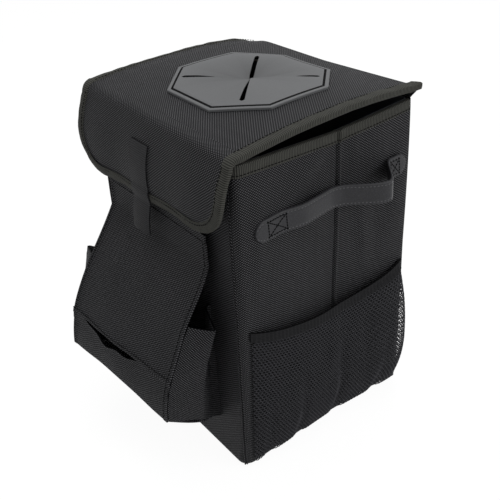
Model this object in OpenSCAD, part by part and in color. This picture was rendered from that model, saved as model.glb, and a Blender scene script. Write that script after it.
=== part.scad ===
// Car trash bin: a lidded oxford-cloth box with boards sewn into it.
// X is the width, -Y the front with the flap and the tissue pocket, +Z up.
// The origin is the middle of the underside. All sizes are millimetres.

/* [Body] */
// Width of the cloth box, side wall to side wall
body_w = 204; // [170:1:240]
// Depth of the cloth box, front wall to back wall
body_d = 182; // [150:1:220]
// Height of the fold line where the lid meets the back wall
lid_z = 308; // [280:1:340]
// Radius of the four upright corners
corner_r = 6; // [4:0.5:9]
// Radius of the edge round the underside
bottom_r = 6; // [5:0.5:9]
// How far the middle crease of each side wall is folded in
crease_in = 3; // [0.5:0.5:5]
// How far the rim hangs below the lid fold at the front corners
rim_drop_front = 7.6; // [6:0.2:12]
// How far the rim hangs below the lid fold at the side creases
rim_drop_crease = 12.5; // [7:0.5:18]
// How far the rim hangs below the lid fold at the back corners
rim_drop_back = 6.4; // [6:0.2:12]

/* [Layers] */
// Thickness of the outer oxford cloth with its coating
cloth_t = 1.4; // [0.8:0.1:2.2]
// Thickness of the stiffening boards in the walls and lid
board_t = 1.8; // [1:0.1:3]
// Thickness of the loose board on the floor
floor_board_t = 3; // [2:0.1:4]
// Thickness of the waterproof lining
lining_t = 0.8; // [0.5:0.1:1.2]
// Width of the ribbed binding tape where it shows
tape_w = 9.5; // [7:0.5:13]
// Thickness of one layer of binding tape
tape_t = 0.9; // [0.5:0.1:1.2]
// Width of the hem that hides the edge of each wall board
board_inset = 12; // [8:0.5:20]

/* [Lid] */
// How far the lid stands over the side walls
lid_over = 4; // [3:0.5:8]
// How far the lid stands over the front wall
lid_over_front = 5; // [4:0.5:9]
// Rise of the lid's arch over its fold lines
lid_rise = 7; // [3:0.5:12]
// How far the binding tape's ends run on past the back fold
tape_end = 5; // [0:0.5:5]

/* [Slit cover] */
// Octagonal rubber cover, from side to side
cover_flats = 126; // [115:1:132]
// Length of the octagon's four sides that lie along the lid's edges
cover_side = 58; // [50:1:64]
// Sideways place of the cover's middle
cover_x = 4.5; // [-6:0.5:6]
// How far the cover's middle lies behind the middle of the lid
cover_back = 3.7; // [0:0.1:6]
// Thickness of the cover inside its groove
cover_t = 2.8; // [2.4:0.1:3.4]
// Thickness of the petals, which are thinned from below
petal_t = 1.6; // [1.2:0.1:2]
// How far the petals' tips sag
petal_dip = 2.5; // [0:0.5:3]
// Thickness of the lip outside the groove
lip_t = 2.2; // [1.8:0.1:2.6]
// Width of the stitch groove
groove_w = 1.4; // [0.8:0.1:2]
// Depth of the stitch groove under the cover's top
groove_h = 1.2; // [0.8:0.1:1.5]
// Distance of the stitch groove from the edge
groove_in = 3.2; // [2:0.2:4]
// How far inside the cover's edge the hole in the lid begins
hole_in = 8; // [6:0.5:14]
// Length of each crossing slit
slit_l = 110; // [80:1:112]
// Width that the widest slit gapes at rest
slit_gap = 3.8; // [2:0.1:5]

/* [Flap] */
// Height of the front flap below the lid
flap_drop = 65; // [50:1:75]
// How far the foot of the flap stands out from its fold
flap_flare = 9; // [4:0.5:14]
// Outward bow of the flap between fold and foot
flap_bow = 6; // [3:0.5:10]
// Radius of the flap's two lower corners
flap_corner_r = 38; // [20:1:45]
// Thickness of the flap's lining
flap_lining_t = 1; // [0.6:0.1:1.6]
// Width of the pull tab webbing
tab_w = 25; // [18:1:32]
// Thickness of the pull tab webbing
tab_t = 1.3; // [0.8:0.1:2]
// Sideways place of the pull tab's middle
tab_x = -4; // [-20:1:20]
// Height of the tab's sewn top above the foot of the flap
tab_up = 50; // [30:1:54]
// Length of the tab that hangs below the flap
tab_hang = 28; // [18:1:36]

/* [Tissue pocket] */
// Half the width of the tissue pocket's front
pocket_half = 72; // [60:1:80]
// Height of the pocket's top edge
pocket_top = 236; // [213:1:238]
// Height of the foot of the pocket's front
pocket_foot = 76; // [60:1:90]
// Height at which the pocket's floor meets the wall
pocket_wall_foot = 42; // [28:1:58]
// Gap between wall and pocket at the top edge
pocket_gap = 8; // [6:0.5:10]
// How much further out the foot stands than the top edge
pocket_belly = 56; // [35:1:64]
// How much further out the left edge swings than the middle
pocket_swing = 6; // [0:0.5:9]
// Outward crown of the front between its two edges
pocket_crown = 3; // [0:0.5:6]
// Thickness of the pocket's cloth
pocket_t = 1.5; // [1:0.1:2]
// Height of the tissue slit
slot_z = 112; // [98:1:138]
// Height that the tissue slit gapes in its middle
slot_gape = 9; // [5:0.5:12]
// Width of the tissue slit
slot_w = 112; // [80:1:124]
// Height of the top edge of the side gussets
gusset_top = 160; // [143:1:173]
// How far the gusset's pleat folds out at its top edge
gusset_fold_top = 15; // [8:0.5:20]
// How far the gusset's pleat folds out at its foot
gusset_fold_foot = 9; // [4:0.5:14]

/* [Mesh pockets] */
// Height of the mesh pocket's top edge at its ends
mesh_top = 152; // [118:1:173]
// How far the top edge sags in the middle
mesh_sag = 13; // [6:0.5:20]
// Width of the elastic hem
hem_w = 9; // [6:0.5:13]
// Thickness of the elastic hem
hem_t = 1.8; // [1.2:0.1:2.6]
// Thickness of the net
net_t = 1.2; // [0.8:0.1:1.8]
// How far the net bellies out
net_belly = 13; // [9:0.5:15]
// How far the hem stands out in its middle
hem_out = 8; // [6:0.5:11]

/* [Handles] */
// Width of the handle strap
strap_w = 19; // [15:0.5:25]
// Thickness of the handle strap
strap_t = 2.4; // [1.8:0.1:3.5]
// Half the length of the handle, tip to tip
handle_half = 79; // [65:1:84]
// How far the handle bows out from the wall
handle_bow = 19; // [14:0.5:26]
// Height of the middle of the handle
handle_z = 247; // [208:1:263]
// Slope of the handle, up towards the back
handle_tilt = 5; // [0:0.5:8]
// Length of each stitched end
handle_end = 30; // [22:1:32]

/* [Rear strap] */
// Width of the hanging strap's webbing
web_w = 25; // [20:1:30]
// Thickness of the webbing
web_t = 1.6; // [1:0.1:2.2]
// Height of the strap's middle
web_z = 263; // [228:1:270]
// Half the length of the strap between its outer ends
web_half = 93; // [84:1:95]
// How far the buckle stands out from the back wall
buckle_out = 8; // [6:0.5:12]
// Length of the buckle's socket
socket_l = 34; // [30:1:40]
// Thickness of the buckle
buckle_t = 11; // [9:0.5:13]

/* [Hidden] */
$fn = 96;

// Colours as the real piece shows them
cloth_c = "#28282a";
tape_c = "#3e3e3a";
board_c = "#8a8580";
lining_c = "#4a4c50";
rubber_c = "#6a6b6e";
leather_c = "#3a3a3d";
net_c = "#1d1d1f";
web_c = "#303032";
plastic_c = "#1c1c1e";

// Free play between pieces that lie on each other without being glued
ease = 0.3;
// Longer than anything it cuts
far = 800;
half_w = body_w / 2;
half_d = body_d / 2;

// Height of the underside of the lid along its fold lines
lid_stack = cloth_t + board_t + lining_t;
lid_under = lid_z - lid_stack;
rim_front = lid_z - rim_drop_front;
rim_crease = lid_z - rim_drop_crease;
rim_back = lid_z - rim_drop_back;
// The side crease lies just behind the middle of the wall
crease_y = 6;
// End of the straight part of each wall
flat_y = half_d - corner_r;
flat_x = half_w - corner_r;

// Lid arch: a cylinder through both fold lines
lid_front_y = -half_d - lid_over_front;
lid_span = half_d - lid_front_y;
lid_mid_y = (half_d + lid_front_y) / 2;
lid_r = (lid_span * lid_span / 4 + lid_rise * lid_rise) / (2 * lid_rise);
lid_axis_z = lid_z + lid_rise - lid_r;
lid_half_w = half_w + lid_over;

// Flap arch: a cylinder through the flap's fold line and its foot
flap_stack = cloth_t + flap_lining_t;
flap_top_z = lid_under - ease;
flap_foot_z = flap_top_z - flap_drop;
flap_foot_y = lid_front_y - flap_flare;
flap_chord = sqrt(flap_drop * flap_drop + flap_flare * flap_flare);
flap_r = (flap_chord * flap_chord / 4 + flap_bow * flap_bow) / (2 * flap_bow);
flap_axis_y = (lid_front_y + flap_foot_y) / 2 + (flap_r - flap_bow) * flap_drop / flap_chord;
flap_axis_z = (flap_top_z + flap_foot_z) / 2 - (flap_r - flap_bow) * flap_flare / flap_chord;

// Outer face of a side wall, which is folded in along its crease
function side_x(y) = half_w - crease_in * (
  y < crease_y ? max(0, y + flat_y) / (crease_y + flat_y) : max(0, flat_y - y) / (flat_y - crease_y));
function clamp01(v) = max(0, min(1, v));

// Extrude a profile drawn in Y and Z along X, from x0 to x1
module along_x(x0, x1) {
  translate([x0, 0, 0])
    rotate([90, 0, 90])
      linear_extrude(x1 - x0)
        children();
}

// Extrude a profile drawn in X and Z along Y, from y0 to y1
module along_y(y0, y1) {
  translate([0, y1, 0])
    rotate([90, 0, 0])
      linear_extrude(y1 - y0)
        children();
}

// Plan outline of the box, drawn in by ix at the sides and iy at front and back
module footprint(ix, iy, r) {
  sx = half_w - ix;
  sy = half_d - iy;
  square([2 * (sx - r), 2 * sy], center = true);
  for (x = [-1, 1], y = [-1, 1])
    translate([x * (sx - r), y * (sy - r)])
      circle(r);
  polygon([
    [-sx, -flat_y], [sx, -flat_y], [sx - crease_in, crease_y], [sx, flat_y],
    [-sx, flat_y], [crease_in - sx, crease_y]
  ]);
}

// Upright outline with a rounded foot, from z0 up to z1
module round_foot(half, r, z0, z1) {
  translate([-half, z0 + r])
    square([2 * half, z1 - z0 - r]);
  translate([r - half, z0])
    square([2 * (half - r), r]);
  for (x = [-1, 1])
    translate([x * (half - r), z0 + r])
      circle(r);
}

// Everything under the rim line, drawn in Y and Z, moved up by lift
module under_rim(lift) {
  polygon([
    [-far, -far], [-far, rim_front + lift], [-flat_y, rim_front + lift],
    [crease_y, rim_crease + lift], [flat_y, rim_back + lift], [far, rim_back + lift], [far, -far]
  ]);
}

// A sheet of cloth: outer and inner are rows of points across it.
// A net is open in every second cell of every second row.
module sheet(outer, inner, net = false) {
  nr = len(outer);
  nc = len(outer[0]);
  n = nr * nc;
  all_points = [for (g = [outer, inner], row = g, p = row) p];
  cells = [for (i = [0:nr - 2], j = [0:nc - 2]) [i, j]];
  gaps = [for (c = cells) if (net && c[0] % 2 == 1 && c[1] % 2 == 1) c];
  cloth = [for (c = cells) if (!net || c[0] % 2 == 0 || c[1] % 2 == 0) c];
  // Edges with the cloth on their later side and on their earlier side, down the rows and across the columns
  row_starts = concat([for (j = [0:nc - 2]) [0, j]], [for (c = gaps) [c[0] + 1, c[1]]]);
  row_ends = concat([for (j = [0:nc - 2]) [nr - 1, j]], gaps);
  col_starts = concat([for (i = [0:nr - 2]) [i, 0]], [for (c = gaps) [c[0], c[1] + 1]]);
  col_ends = concat([for (i = [0:nr - 2]) [i, nc - 1]], gaps);
  faces = concat(
    [for (c = cloth, k = [c[0] * nc + c[1]], h = [0, 1]) h == 0
      ? [k, k + nc + 1, k + 1]
      : [k, k + nc, k + nc + 1]],
    [for (c = cloth, k = [n + c[0] * nc + c[1]], h = [0, 1]) h == 0
      ? [k, k + 1, k + nc + 1]
      : [k, k + nc + 1, k + nc]],
    [for (c = row_starts, k = [c[0] * nc + c[1]], h = [0, 1]) h == 0 ? [k, k + 1, n + k] : [k + 1, n + k + 1, n + k]],
    [for (c = row_ends, k = [c[0] * nc + c[1]], h = [0, 1]) h == 0 ? [k, n + k, k + 1] : [k + 1, n + k, n + k + 1]],
    [for (c = col_starts, k = [c[0] * nc + c[1]], h = [0, 1]) h == 0
      ? [k, n + k, k + nc]
      : [k + nc, n + k, n + k + nc]],
    [for (c = col_ends, k = [c[0] * nc + c[1]], h = [0, 1]) h == 0
      ? [k, k + nc, n + k]
      : [k + nc, n + k + nc, n + k]]
  );
  polyhedron(all_points, faces, convexity = 6);
}

// Box walls

module front_panel() {
  color(cloth_c)
    along_x(-flat_x, flat_x)
      translate([-half_d, bottom_r])
        square([cloth_t, rim_front - bottom_r]);
}

// The back wall runs up to the lid: there the same cloth turns forward as the lid
module back_panel() {
  color(cloth_c)
    along_x(-flat_x, flat_x)
      translate([half_d - cloth_t, bottom_r])
        square([cloth_t, flap_top_z - bottom_r]);
}

// One side wall with its crease, wrapped round both corners to the seams
module side_wall(side) {
  color(cloth_c)
    intersection() {
      linear_extrude(lid_z)
        difference() {
          footprint(0, 0, corner_r);
          footprint(cloth_t, cloth_t, corner_r - cloth_t);
        }
      translate([side > 0 ? flat_x : -flat_x - far, -far / 2, bottom_r])
        cube([far, far, far]);
      along_x(-far / 2, far / 2)
        under_rim(0);
    }
}

module side_panel_right() {
  side_wall(1);
}

module side_panel_left() {
  side_wall(-1);
}

// The floor turns up all round into a shallow tray
module floor_tray(inset) {
  intersection() {
    translate([0, 0, inset])
      linear_extrude(bottom_r - inset)
        footprint(inset, inset, corner_r - inset);
    along_x(-far / 2, far / 2)
      round_foot(half_d - inset, bottom_r - inset, inset, bottom_r + far);
    along_y(-far / 2, far / 2)
      round_foot(half_w - inset, bottom_r - inset, inset, bottom_r + far);
  }
}

module floor_panel() {
  color(cloth_c)
    difference() {
      floor_tray(0);
      floor_tray(cloth_t);
    }
}

// A stiff board between cloth and lining, hidden at every edge
module wall_board(y0) {
  color(board_c)
    along_x(board_inset - half_w, half_w - board_inset)
      translate([y0, bottom_r + ease])
        square([board_t, rim_front - board_inset - bottom_r]);
}

module front_board() {
  wall_board(cloth_t - half_d);
}

module back_board() {
  wall_board(half_d - cloth_t - board_t);
}

// The loose board lies inside the tray, clear of its rounded edge
module floor_board() {
  edge = bottom_r + ease;
  color(board_c)
    translate([0, 0, cloth_t])
      linear_extrude(floor_board_t)
        footprint(edge, edge, corner_r - ease);
}

lining_ix = cloth_t + ease;
lining_iy = cloth_t + board_t;
lining_r = 4;
lining_foot = cloth_t + floor_board_t;

module lining_room(inset, foot, lift) {
  intersection() {
    translate([0, 0, foot])
      linear_extrude(lid_z)
        footprint(lining_ix + inset, lining_iy + inset, lining_r - inset);
    along_x(-far / 2, far / 2)
      under_rim(lift);
  }
}

module waterproof_lining() {
  color(lining_c)
    difference() {
      lining_room(0, lining_foot, 0);
      lining_room(lining_t, lining_foot + lining_t, far);
    }
}

// Ribbed tape folded over the rim at the front and both sides
module rim_binding() {
  room = lining_t + tape_t;
  color(tape_c)
    difference() {
      intersection() {
        linear_extrude(lid_z)
          difference() {
            footprint(-tape_t, -tape_t, corner_r + tape_t);
            footprint(lining_ix + room, lining_iy + room, lining_r - room);
          }
        along_x(-far / 2, far / 2)
          difference() {
            under_rim(tape_t);
            under_rim(tape_t - tape_w);
          }
        translate([-far / 2, flat_y - far, 0])
          cube([far, far, far]);
      }
      intersection() {
        linear_extrude(lid_z)
          difference() {
            footprint(0, 0, corner_r);
            footprint(lining_ix + lining_t, lining_iy + lining_t, lining_r - lining_t);
          }
        along_x(-far / 2, far / 2)
          under_rim(0);
      }
    }
}

// Handles

// How far the strap stands off the wall at y, with its knee behind the middle
bow_start = handle_end - handle_half;
bow_end = handle_half - handle_end * 0.45;
knee_y = bow_end - 26;
function handle_off(y) = handle_bow * (
  y <= bow_start || y >= bow_end ? 0
  : y < knee_y ? (1 - cos(180 * (y - bow_start) / (knee_y - bow_start))) / 2
  : (1 + cos(180 * (y - knee_y) / (bow_end - knee_y))) / 2);

// The strap's edges are turned in and stitched down along a groove
strap_groove_in = 2.3;
strap_groove_w = 0.8;
strap_groove_h = 0.5;

// Slice along the strap's line between two distances from its back
module strap_slice(out0, out1) {
  steps = 44;
  line = [for (i = [0:steps]) let (y = handle_half * (2 * i / steps - 1)) [side_x(y) + ease + handle_off(y), y]];
  outer = [for (p = line) [p[0] + out1, p[1]]];
  back = [for (i = [0:steps]) [line[steps - i][0] + out0, line[steps - i][1]]];
  translate([0, 0, -strap_w / 2])
    linear_extrude(strap_w)
      polygon(concat(outer, back));
}

// The strap laid flat, with round ends
module strap_outline(inset) {
  square([2 * handle_half - strap_w, strap_w - 2 * inset], center = true);
  for (e = [-1, 1])
    translate([e * (handle_half - strap_w / 2), 0])
      circle(strap_w / 2 - inset);
}

module handle(side) {
  color(leather_c)
    mirror([side > 0 ? 0 : 1, 0, 0])
      translate([0, 0, handle_z])
        rotate([handle_tilt, 0, 0])
          difference() {
            intersection() {
              strap_slice(0, strap_t);
              along_x(0, far / 2)
                strap_outline(0);
            }
            intersection() {
              strap_slice(strap_t - strap_groove_h, strap_t + 1);
              along_x(0, far / 2)
                difference() {
                  strap_outline(strap_groove_in);
                  strap_outline(strap_groove_in + strap_groove_w);
                }
            }
          }
}

module handle_right() {
  handle(1);
}

module handle_left() {
  handle(-1);
}

// Tissue pocket

// Share of the belly reached at height z: none near the top, full at the foot
function belly(z) = pow(sin(90 * clamp01(((pocket_top - z) / (pocket_top - pocket_foot) - 0.18) / 0.82)), 1.15);
// Distance of the front's outer face from the wall
function pocket_out(x, z) = let (u = x / pocket_half)
  pocket_gap + belly(z) * (pocket_belly - pocket_swing * u + pocket_crown * (1 - u * u));
// Height of the slit's edge above and below its middle line
function slot_lip(x) = slot_gape / 2 * pow(max(0, cos(180 * clamp01(abs(x) / slot_w))), 1.5);

pocket_cols = 16;
function pocket_x(j) = pocket_half * (2 * j / pocket_cols - 1);
function front_point(x, z, back) = [x, -half_d - pocket_out(x, z) + back, z];

// Part of the pocket's front between two heights, opened at the slit by its lips
module pocket_front(z_low, z_high, low_lip, high_lip, rows) {
  grid = [for (i = [0:rows]) [for (j = [0:pocket_cols])
    let (x = pocket_x(j), v = i / rows)
    [x, (z_low + low_lip * slot_lip(x)) * (1 - v) + (z_high + high_lip * slot_lip(x)) * v]]];
  color(cloth_c)
    sheet(
      [for (row = grid) [for (p = row) front_point(p[0], p[1], 0)]],
      [for (row = grid) [for (p = row) front_point(p[0], p[1], pocket_t)]]
    );
}

module tissue_front_upper() {
  pocket_front(slot_z, pocket_top, 1, 0, 14);
}

module tissue_front_lower() {
  pocket_front(pocket_foot, slot_z, 0, -1, 5);
}

// Plan of the gusset at one height: wall, pleat fold, and the back of the front
function gusset_reach(side, z) = pocket_out(side * pocket_half, z) - pocket_t - ease;
function gusset_fold(v) = gusset_fold_foot * (1 - v) + gusset_fold_top * v;
function gusset_side(q, v) = gusset_fold(v) * (1 - abs(2 * q - 1));

module tissue_gusset(side) {
  rows = 6;
  cols = 8;
  function z_at(q, v) = (pocket_wall_foot + (pocket_foot - pocket_wall_foot) * q) * (1 - v) + gusset_top * v;
  function at(q, v, inset) = let (z = z_at(q, v))
    [side * (pocket_half - inset + gusset_side(q, v)), -half_d - q * gusset_reach(side, z), z];
  outer = [for (i = [0:rows]) [for (j = [0:cols]) at(j / cols, i / rows, 0)]];
  inner = [for (i = [0:rows]) [for (j = [0:cols]) at(j / cols, i / rows, pocket_t)]];
  color(cloth_c)
    if (side > 0)
      sheet(inner, outer);
    else
      sheet(outer, inner);
}

module tissue_gusset_right() {
  tissue_gusset(1);
}

module tissue_gusset_left() {
  tissue_gusset(-1);
}

// The floor of the pocket climbs from the wall to the foot of the front
module tissue_floor() {
  rows = 6;
  cols = 12;
  drop = pocket_t + ease;
  function at(q, u, down) = let (
    half = pocket_half + gusset_side(q, 0) - pocket_t - ease,
    x = half * u,
    z = pocket_wall_foot + (pocket_foot - pocket_wall_foot) * q)
    [x, -half_d - q * (pocket_out(min(pocket_half, max(-pocket_half, x)), pocket_foot) - pocket_t - ease), z + pocket_t - down];
  upper = [for (i = [0:rows]) [for (j = [0:cols]) at(i / rows, 2 * j / cols - 1, 0)]];
  lower = [for (i = [0:rows]) [for (j = [0:cols]) at(i / rows, 2 * j / cols - 1, pocket_t)]];
  color(cloth_c)
    sheet(lower, upper);
}

// Hook-and-loop closure: the soft half on the wall, the hooked half in the flap
patch_half = 40;
patch_h = 20;
patch_t = 1.2;
patch_foot = flap_foot_z + tape_w + 2;

module loop_patch() {
  color(plastic_c)
    along_x(-patch_half, patch_half)
      translate([-half_d - patch_t, patch_foot])
        square([patch_t, patch_h]);
}

// Mesh pockets

mesh_half = flat_y - 1;
mesh_foot = bottom_r + 1;
// The net is taken in by pleats along its foot
pleats = [-65, -32, 15, 50];
function mesh_edge(y) = mesh_top - mesh_sag * (1 - pow(y / mesh_half, 2));
function pleat_in(y) = max([for (p = pleats) exp(-pow((y - p) / 5, 2))]);
// How far net and hem stand off the wall, v being the share of the height
function mesh_off(y, v) = let (
    across = pow(max(0, cos(90 * y / mesh_half)), 0.6),
    up = v < 0.35 ? sin(90 * v / 0.35) : 1 - (1 - hem_out / net_belly) * pow((v - 0.35) / 0.65, 2))
  ease + net_belly * across * up * (1 - 0.5 * pleat_in(y) * pow(1 - v, 1.5));

// Where line k of n lies when threads and gaps take turns, with a thread at both ends
function thread_line(k, n) = (ceil(k / 2) * thread_share + floor(k / 2)) / ((n + 1) / 2 * thread_share + (n - 1) / 2);

module mesh_band(side, rows, low, high, t, net) {
  function at(y, v, out) = let (w = low * (1 - v) + high * v)
    [side * (side_x(y) + mesh_off(y, w) + out), y,
     mesh_foot + (mesh_edge(y) - hem_w * mesh_split(w) - mesh_foot) * mesh_share(w)];
  function band(out) = [for (i = [0:rows]) [for (j = [0:net_cols])
    at(mesh_half * (2 * thread_line(j, net_cols) - 1), thread_line(i, rows), out)]];
  if (side > 0)
    sheet(band(t), band(0), net);
  else
    sheet(band(0), band(t), net);
}

// From 0 to net_share the height runs over the net, and from there to 1 over the hem
net_share = 0.92;
// The net is drawn coarse: 120 gaps a side, each thread this share of a gap's width
net_rows = 21;
net_cols = 25;
thread_share = 0.7;
function mesh_split(w) = w <= net_share ? 1 : (1 - w) / (1 - net_share);
function mesh_share(w) = w <= net_share ? w / net_share : 1;

module mesh_net(side) {
  color(net_c)
    mesh_band(side, net_rows, 0, net_share, net_t, true);
}

module mesh_hem(side) {
  color(cloth_c)
    mesh_band(side, 1, net_share, 1, hem_t, false);
}

module mesh_net_right() {
  mesh_net(1);
}

module mesh_net_left() {
  mesh_net(-1);
}

module mesh_hem_right() {
  mesh_hem(1);
}

module mesh_hem_left() {
  mesh_hem(-1);
}

// Rear hanging strap with its side-release buckle

anchor_l = 18;
socket_in = 3;
socket_x = -socket_l / 2;
plug_l = 16;
// The webbing leaves the wall, runs out to the buckle's height and stops in its bar
web_y = half_d + buckle_out + buckle_t / 2 - web_t / 2;
slider_x = 44;
slider_l = 9;

// Webbing drawn in X and Y: sewn end on the wall, slanted run, level run to the buckle
module webbing(x_end) {
  a = web_half;
  b = web_half - anchor_l;
  c = slider_x + slider_l + 1;
  color(web_c)
    translate([0, 0, web_z - web_w / 2])
      linear_extrude(web_w)
        polygon([
          [a, half_d], [b, half_d], [c, web_y], [x_end, web_y], [x_end, web_y + web_t],
          [c - 1, web_y + web_t], [b + 1, half_d + web_t], [a, half_d + web_t]
        ]);
}

module rear_strap_fixed() {
  mirror([1, 0, 0])
    webbing(socket_l / 2 - socket_in);
}

module rear_strap_adjusting() {
  webbing(socket_l / 2 + plug_l - socket_in);
}

// Rounded plate drawn in X and Z, from y0 to y1
module rounded_plate(x0, x1, h, r, y0, y1) {
  along_y(y0, y1)
    translate([(x0 + x1) / 2, web_z])
      union() {
        square([x1 - x0 - 2 * r, h], center = true);
        square([x1 - x0, h - 2 * r], center = true);
        for (x = [-1, 1], z = [-1, 1])
          translate([x * ((x1 - x0) / 2 - r), z * (h / 2 - r)])
            circle(r);
      }
}

buckle_h = web_w + 9;
buckle_r = 4;
buckle_y0 = half_d + buckle_out;
buckle_y1 = buckle_y0 + buckle_t;
buckle_wall = 2;
// Windows in the socket's edges through which the prongs are pressed
window_x = -2;
window_l = 12;
window_w = 5;
// Sprung prongs with a catch at their tips, and the guide tongue between them
prong_t = 3;
catch_l = 8;
catch_out = 2;
tongue_w = 6;
tongue_in = 4;
// Slot and bar that the webbing is wound round in the plug
bar_l = 4;
bar_slot = 5;

// The socket is open at its right end for the plug and has a window on each side
module buckle_socket() {
  bar = socket_in + ease;
  color(plastic_c)
    difference() {
      rounded_plate(-socket_l / 2, socket_l / 2, buckle_h, buckle_r, buckle_y0, buckle_y1);
      translate([bar + buckle_wall - socket_l / 2, buckle_y0 + buckle_wall, web_z - buckle_h / 2 + buckle_wall])
        cube([socket_l, buckle_t - 2 * buckle_wall, buckle_h - 2 * buckle_wall]);
      for (s = [-1, 1])
        translate([window_x, buckle_y0 - 1, web_z + s * buckle_h / 2 - window_w])
          cube([window_l, buckle_t + 2, 2 * window_w]);
      translate([-socket_l / 2 - 1, web_y - ease, web_z - web_w / 2 - ease])
        cube([bar + 1, web_t + 2 * ease, web_w + 2 * ease]);
    }
}

// The plug: a bar for the webbing, a guide tongue and two sprung prongs
module buckle_plug() {
  play = buckle_wall + ease;
  x0 = socket_l / 2 + ease;
  inner_h = buckle_h - 2 * play;
  color(plastic_c) {
    difference() {
      rounded_plate(x0, x0 + plug_l, buckle_h, buckle_r, buckle_y0, buckle_y1);
      translate([x0 + plug_l - socket_in - ease, web_y - ease, web_z - web_w / 2 - ease])
        cube([socket_in + ease + 1, web_t + 2 * ease, web_w + 2 * ease]);
      translate([x0 + bar_l, buckle_y0 - 1, web_z - web_w / 2])
        cube([bar_slot, buckle_t + 2, web_w]);
    }
    translate([-tongue_in, buckle_y0 + play, web_z - tongue_w / 2])
      cube([x0 + tongue_in + 1, buckle_t - 2 * play, tongue_w]);
    for (s = [-1, 1]) {
      translate([0, buckle_y0 + play, web_z + s * (inner_h - prong_t) / 2 - prong_t / 2])
        cube([x0 + 1, buckle_t - 2 * play, prong_t]);
      translate([0, buckle_y0 + play, web_z + s * (inner_h - prong_t + 2 * catch_out) / 2 - prong_t / 2])
        cube([catch_l, buckle_t - 2 * play, prong_t]);
    }
  }
}

// Three-bar slider that takes up the webbing's length
slider_t = 2.2;
slider_bar = 3;

module strap_slider() {
  t = slider_t;
  slot = slider_l - 2 * slider_bar;
  color(plastic_c)
    difference() {
      rounded_plate(slider_x - slider_l, slider_x + slider_l, web_w + 2 * slider_bar, 2, web_y - t, web_y + web_t + t);
      for (s = [-1, 1])
        translate([slider_x + s * (slider_l - slider_bar - slot / 2) - slot / 2, web_y - t - 1, web_z - web_w / 2])
          cube([slot, 2 * t + web_t + 2, web_w]);
      translate([slider_x - slider_l - 1, web_y - ease, web_z - web_w / 2 - ease])
        cube([2 * slider_l + 2, web_t + 2 * ease, web_w + 2 * ease]);
    }
}

// Lid

// Layer of the arched lid between two depths below its top skin, clipped to a plan half width
module lid_layer(down0, down1, half, y0, y1) {
  intersection() {
    along_x(-half, half)
      translate([lid_mid_y, lid_axis_z])
        difference() {
          circle(lid_r - down0, $fn = 360);
          circle(lid_r - down1, $fn = 360);
        }
    translate([-half, y0, 0])
      cube([2 * half, y1 - y0, far]);
  }
}

cover_y = lid_mid_y + cover_back;

// Plan of the cover, drawn in by inset on all eight sides
module octagon(inset) {
  h = cover_flats / 2 - inset;
  s = cover_side / 2 - inset * (sqrt(2) - 1);
  translate([cover_x, cover_y])
    polygon([[h, -s], [h, s], [s, h], [-s, h], [-h, s], [-h, -s], [-s, -h], [s, -h]]);
}

module lid_hole() {
  linear_extrude(far)
    octagon(hole_in);
}

module lid_panel() {
  color(cloth_c)
    difference() {
      lid_layer(0, cloth_t, lid_half_w, lid_front_y, half_d);
      lid_hole();
    }
}

module lid_board() {
  color(board_c)
    difference() {
      lid_layer(cloth_t, cloth_t + board_t, lid_half_w - board_inset, lid_front_y + board_inset, half_d - board_inset);
      lid_hole();
    }
}

module lid_lining() {
  color(lining_c)
    difference() {
      lid_layer(cloth_t + board_t, lid_stack, lid_half_w, lid_front_y, half_d);
      lid_hole();
    }
}

// Tape folded over both side edges of the lid, the right end cut slanting past the back fold
module lid_binding() {
  tape_x = lid_half_w + tape_t;
  color(tape_c)
    difference() {
      lid_layer(-tape_t, lid_stack + tape_t, tape_x, lid_front_y, half_d + tape_end);
      lid_layer(0, lid_stack, lid_half_w, lid_front_y - 1, half_d);
      lid_layer(-2 * tape_t, lid_stack + 2 * tape_t, tape_x - tape_w, lid_front_y - 1, half_d + tape_end + 1);
      // Its lower layer stops short of the flap and its tape
      translate([-far / 2, lid_front_y - 1, 0])
        cube([far, 1 + flap_stack + tape_t + 2 * ease, lid_under]);
      along_x(-far / 2, far / 2)
        polygon([
          [half_d + tape_end, lid_z], [half_d - tape_slant, lid_under - 2 * tape_t],
          [half_d - tape_slant, 0], [far, 0], [far, lid_z]
        ]);
      linear_extrude(far)
        polygon([[tape_x - tape_w, half_d], [tape_x, half_d + tape_end], [0, far], [0, half_d]]);
      // The left end stops at the fold
      translate([-far, half_d, 0])
        cube([far, far, far]);
    }
}

// How far the tape's lower edge stops short of the back fold
tape_slant = 7;
// Share of the widest gap that each slit shows, anticlockwise from the right rear one
slit_gapes = [0.26, 1, 0.4, 0.68];
// Half width of a slit where the petals' tips meet
slit_end = 0.4;
// Distance from the middle over which a slit widens
slit_widen = 22;

// One slit from the middle out along its diagonal, with a blunt outer end
module slit(k) {
  w = max(slit_end, slit_gap / 2 * slit_gapes[k]);
  rotate(45 + 90 * k)
    polygon([
      [0, -slit_end], [slit_widen, -w], [slit_l / 2, -w],
      [slit_l / 2, w], [slit_widen, w], [0, slit_end]
    ]);
}

// A layer of the cover between two heights over the lid's top, as wide as its plan
module cover_layer(up0, up1, inset) {
  intersection() {
    lid_layer(-up1, -up0, cover_flats, lid_front_y, half_d);
    translate([0, 0, lid_under])
      linear_extrude(far)
        octagon(inset);
  }
}

// Everything from the petals' sagging cone up, moved down by sunk
module petal_cone(sunk) {
  tip_z = lid_z + lid_rise + cover_t - petal_dip - sunk;
  reach = cover_flats / 2;
  translate([cover_x, cover_y, tip_z])
    rotate_extrude()
      polygon([[0, 0], [reach, petal_dip * reach / (reach - hole_in)], [reach, far], [0, far]]);
}

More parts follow.
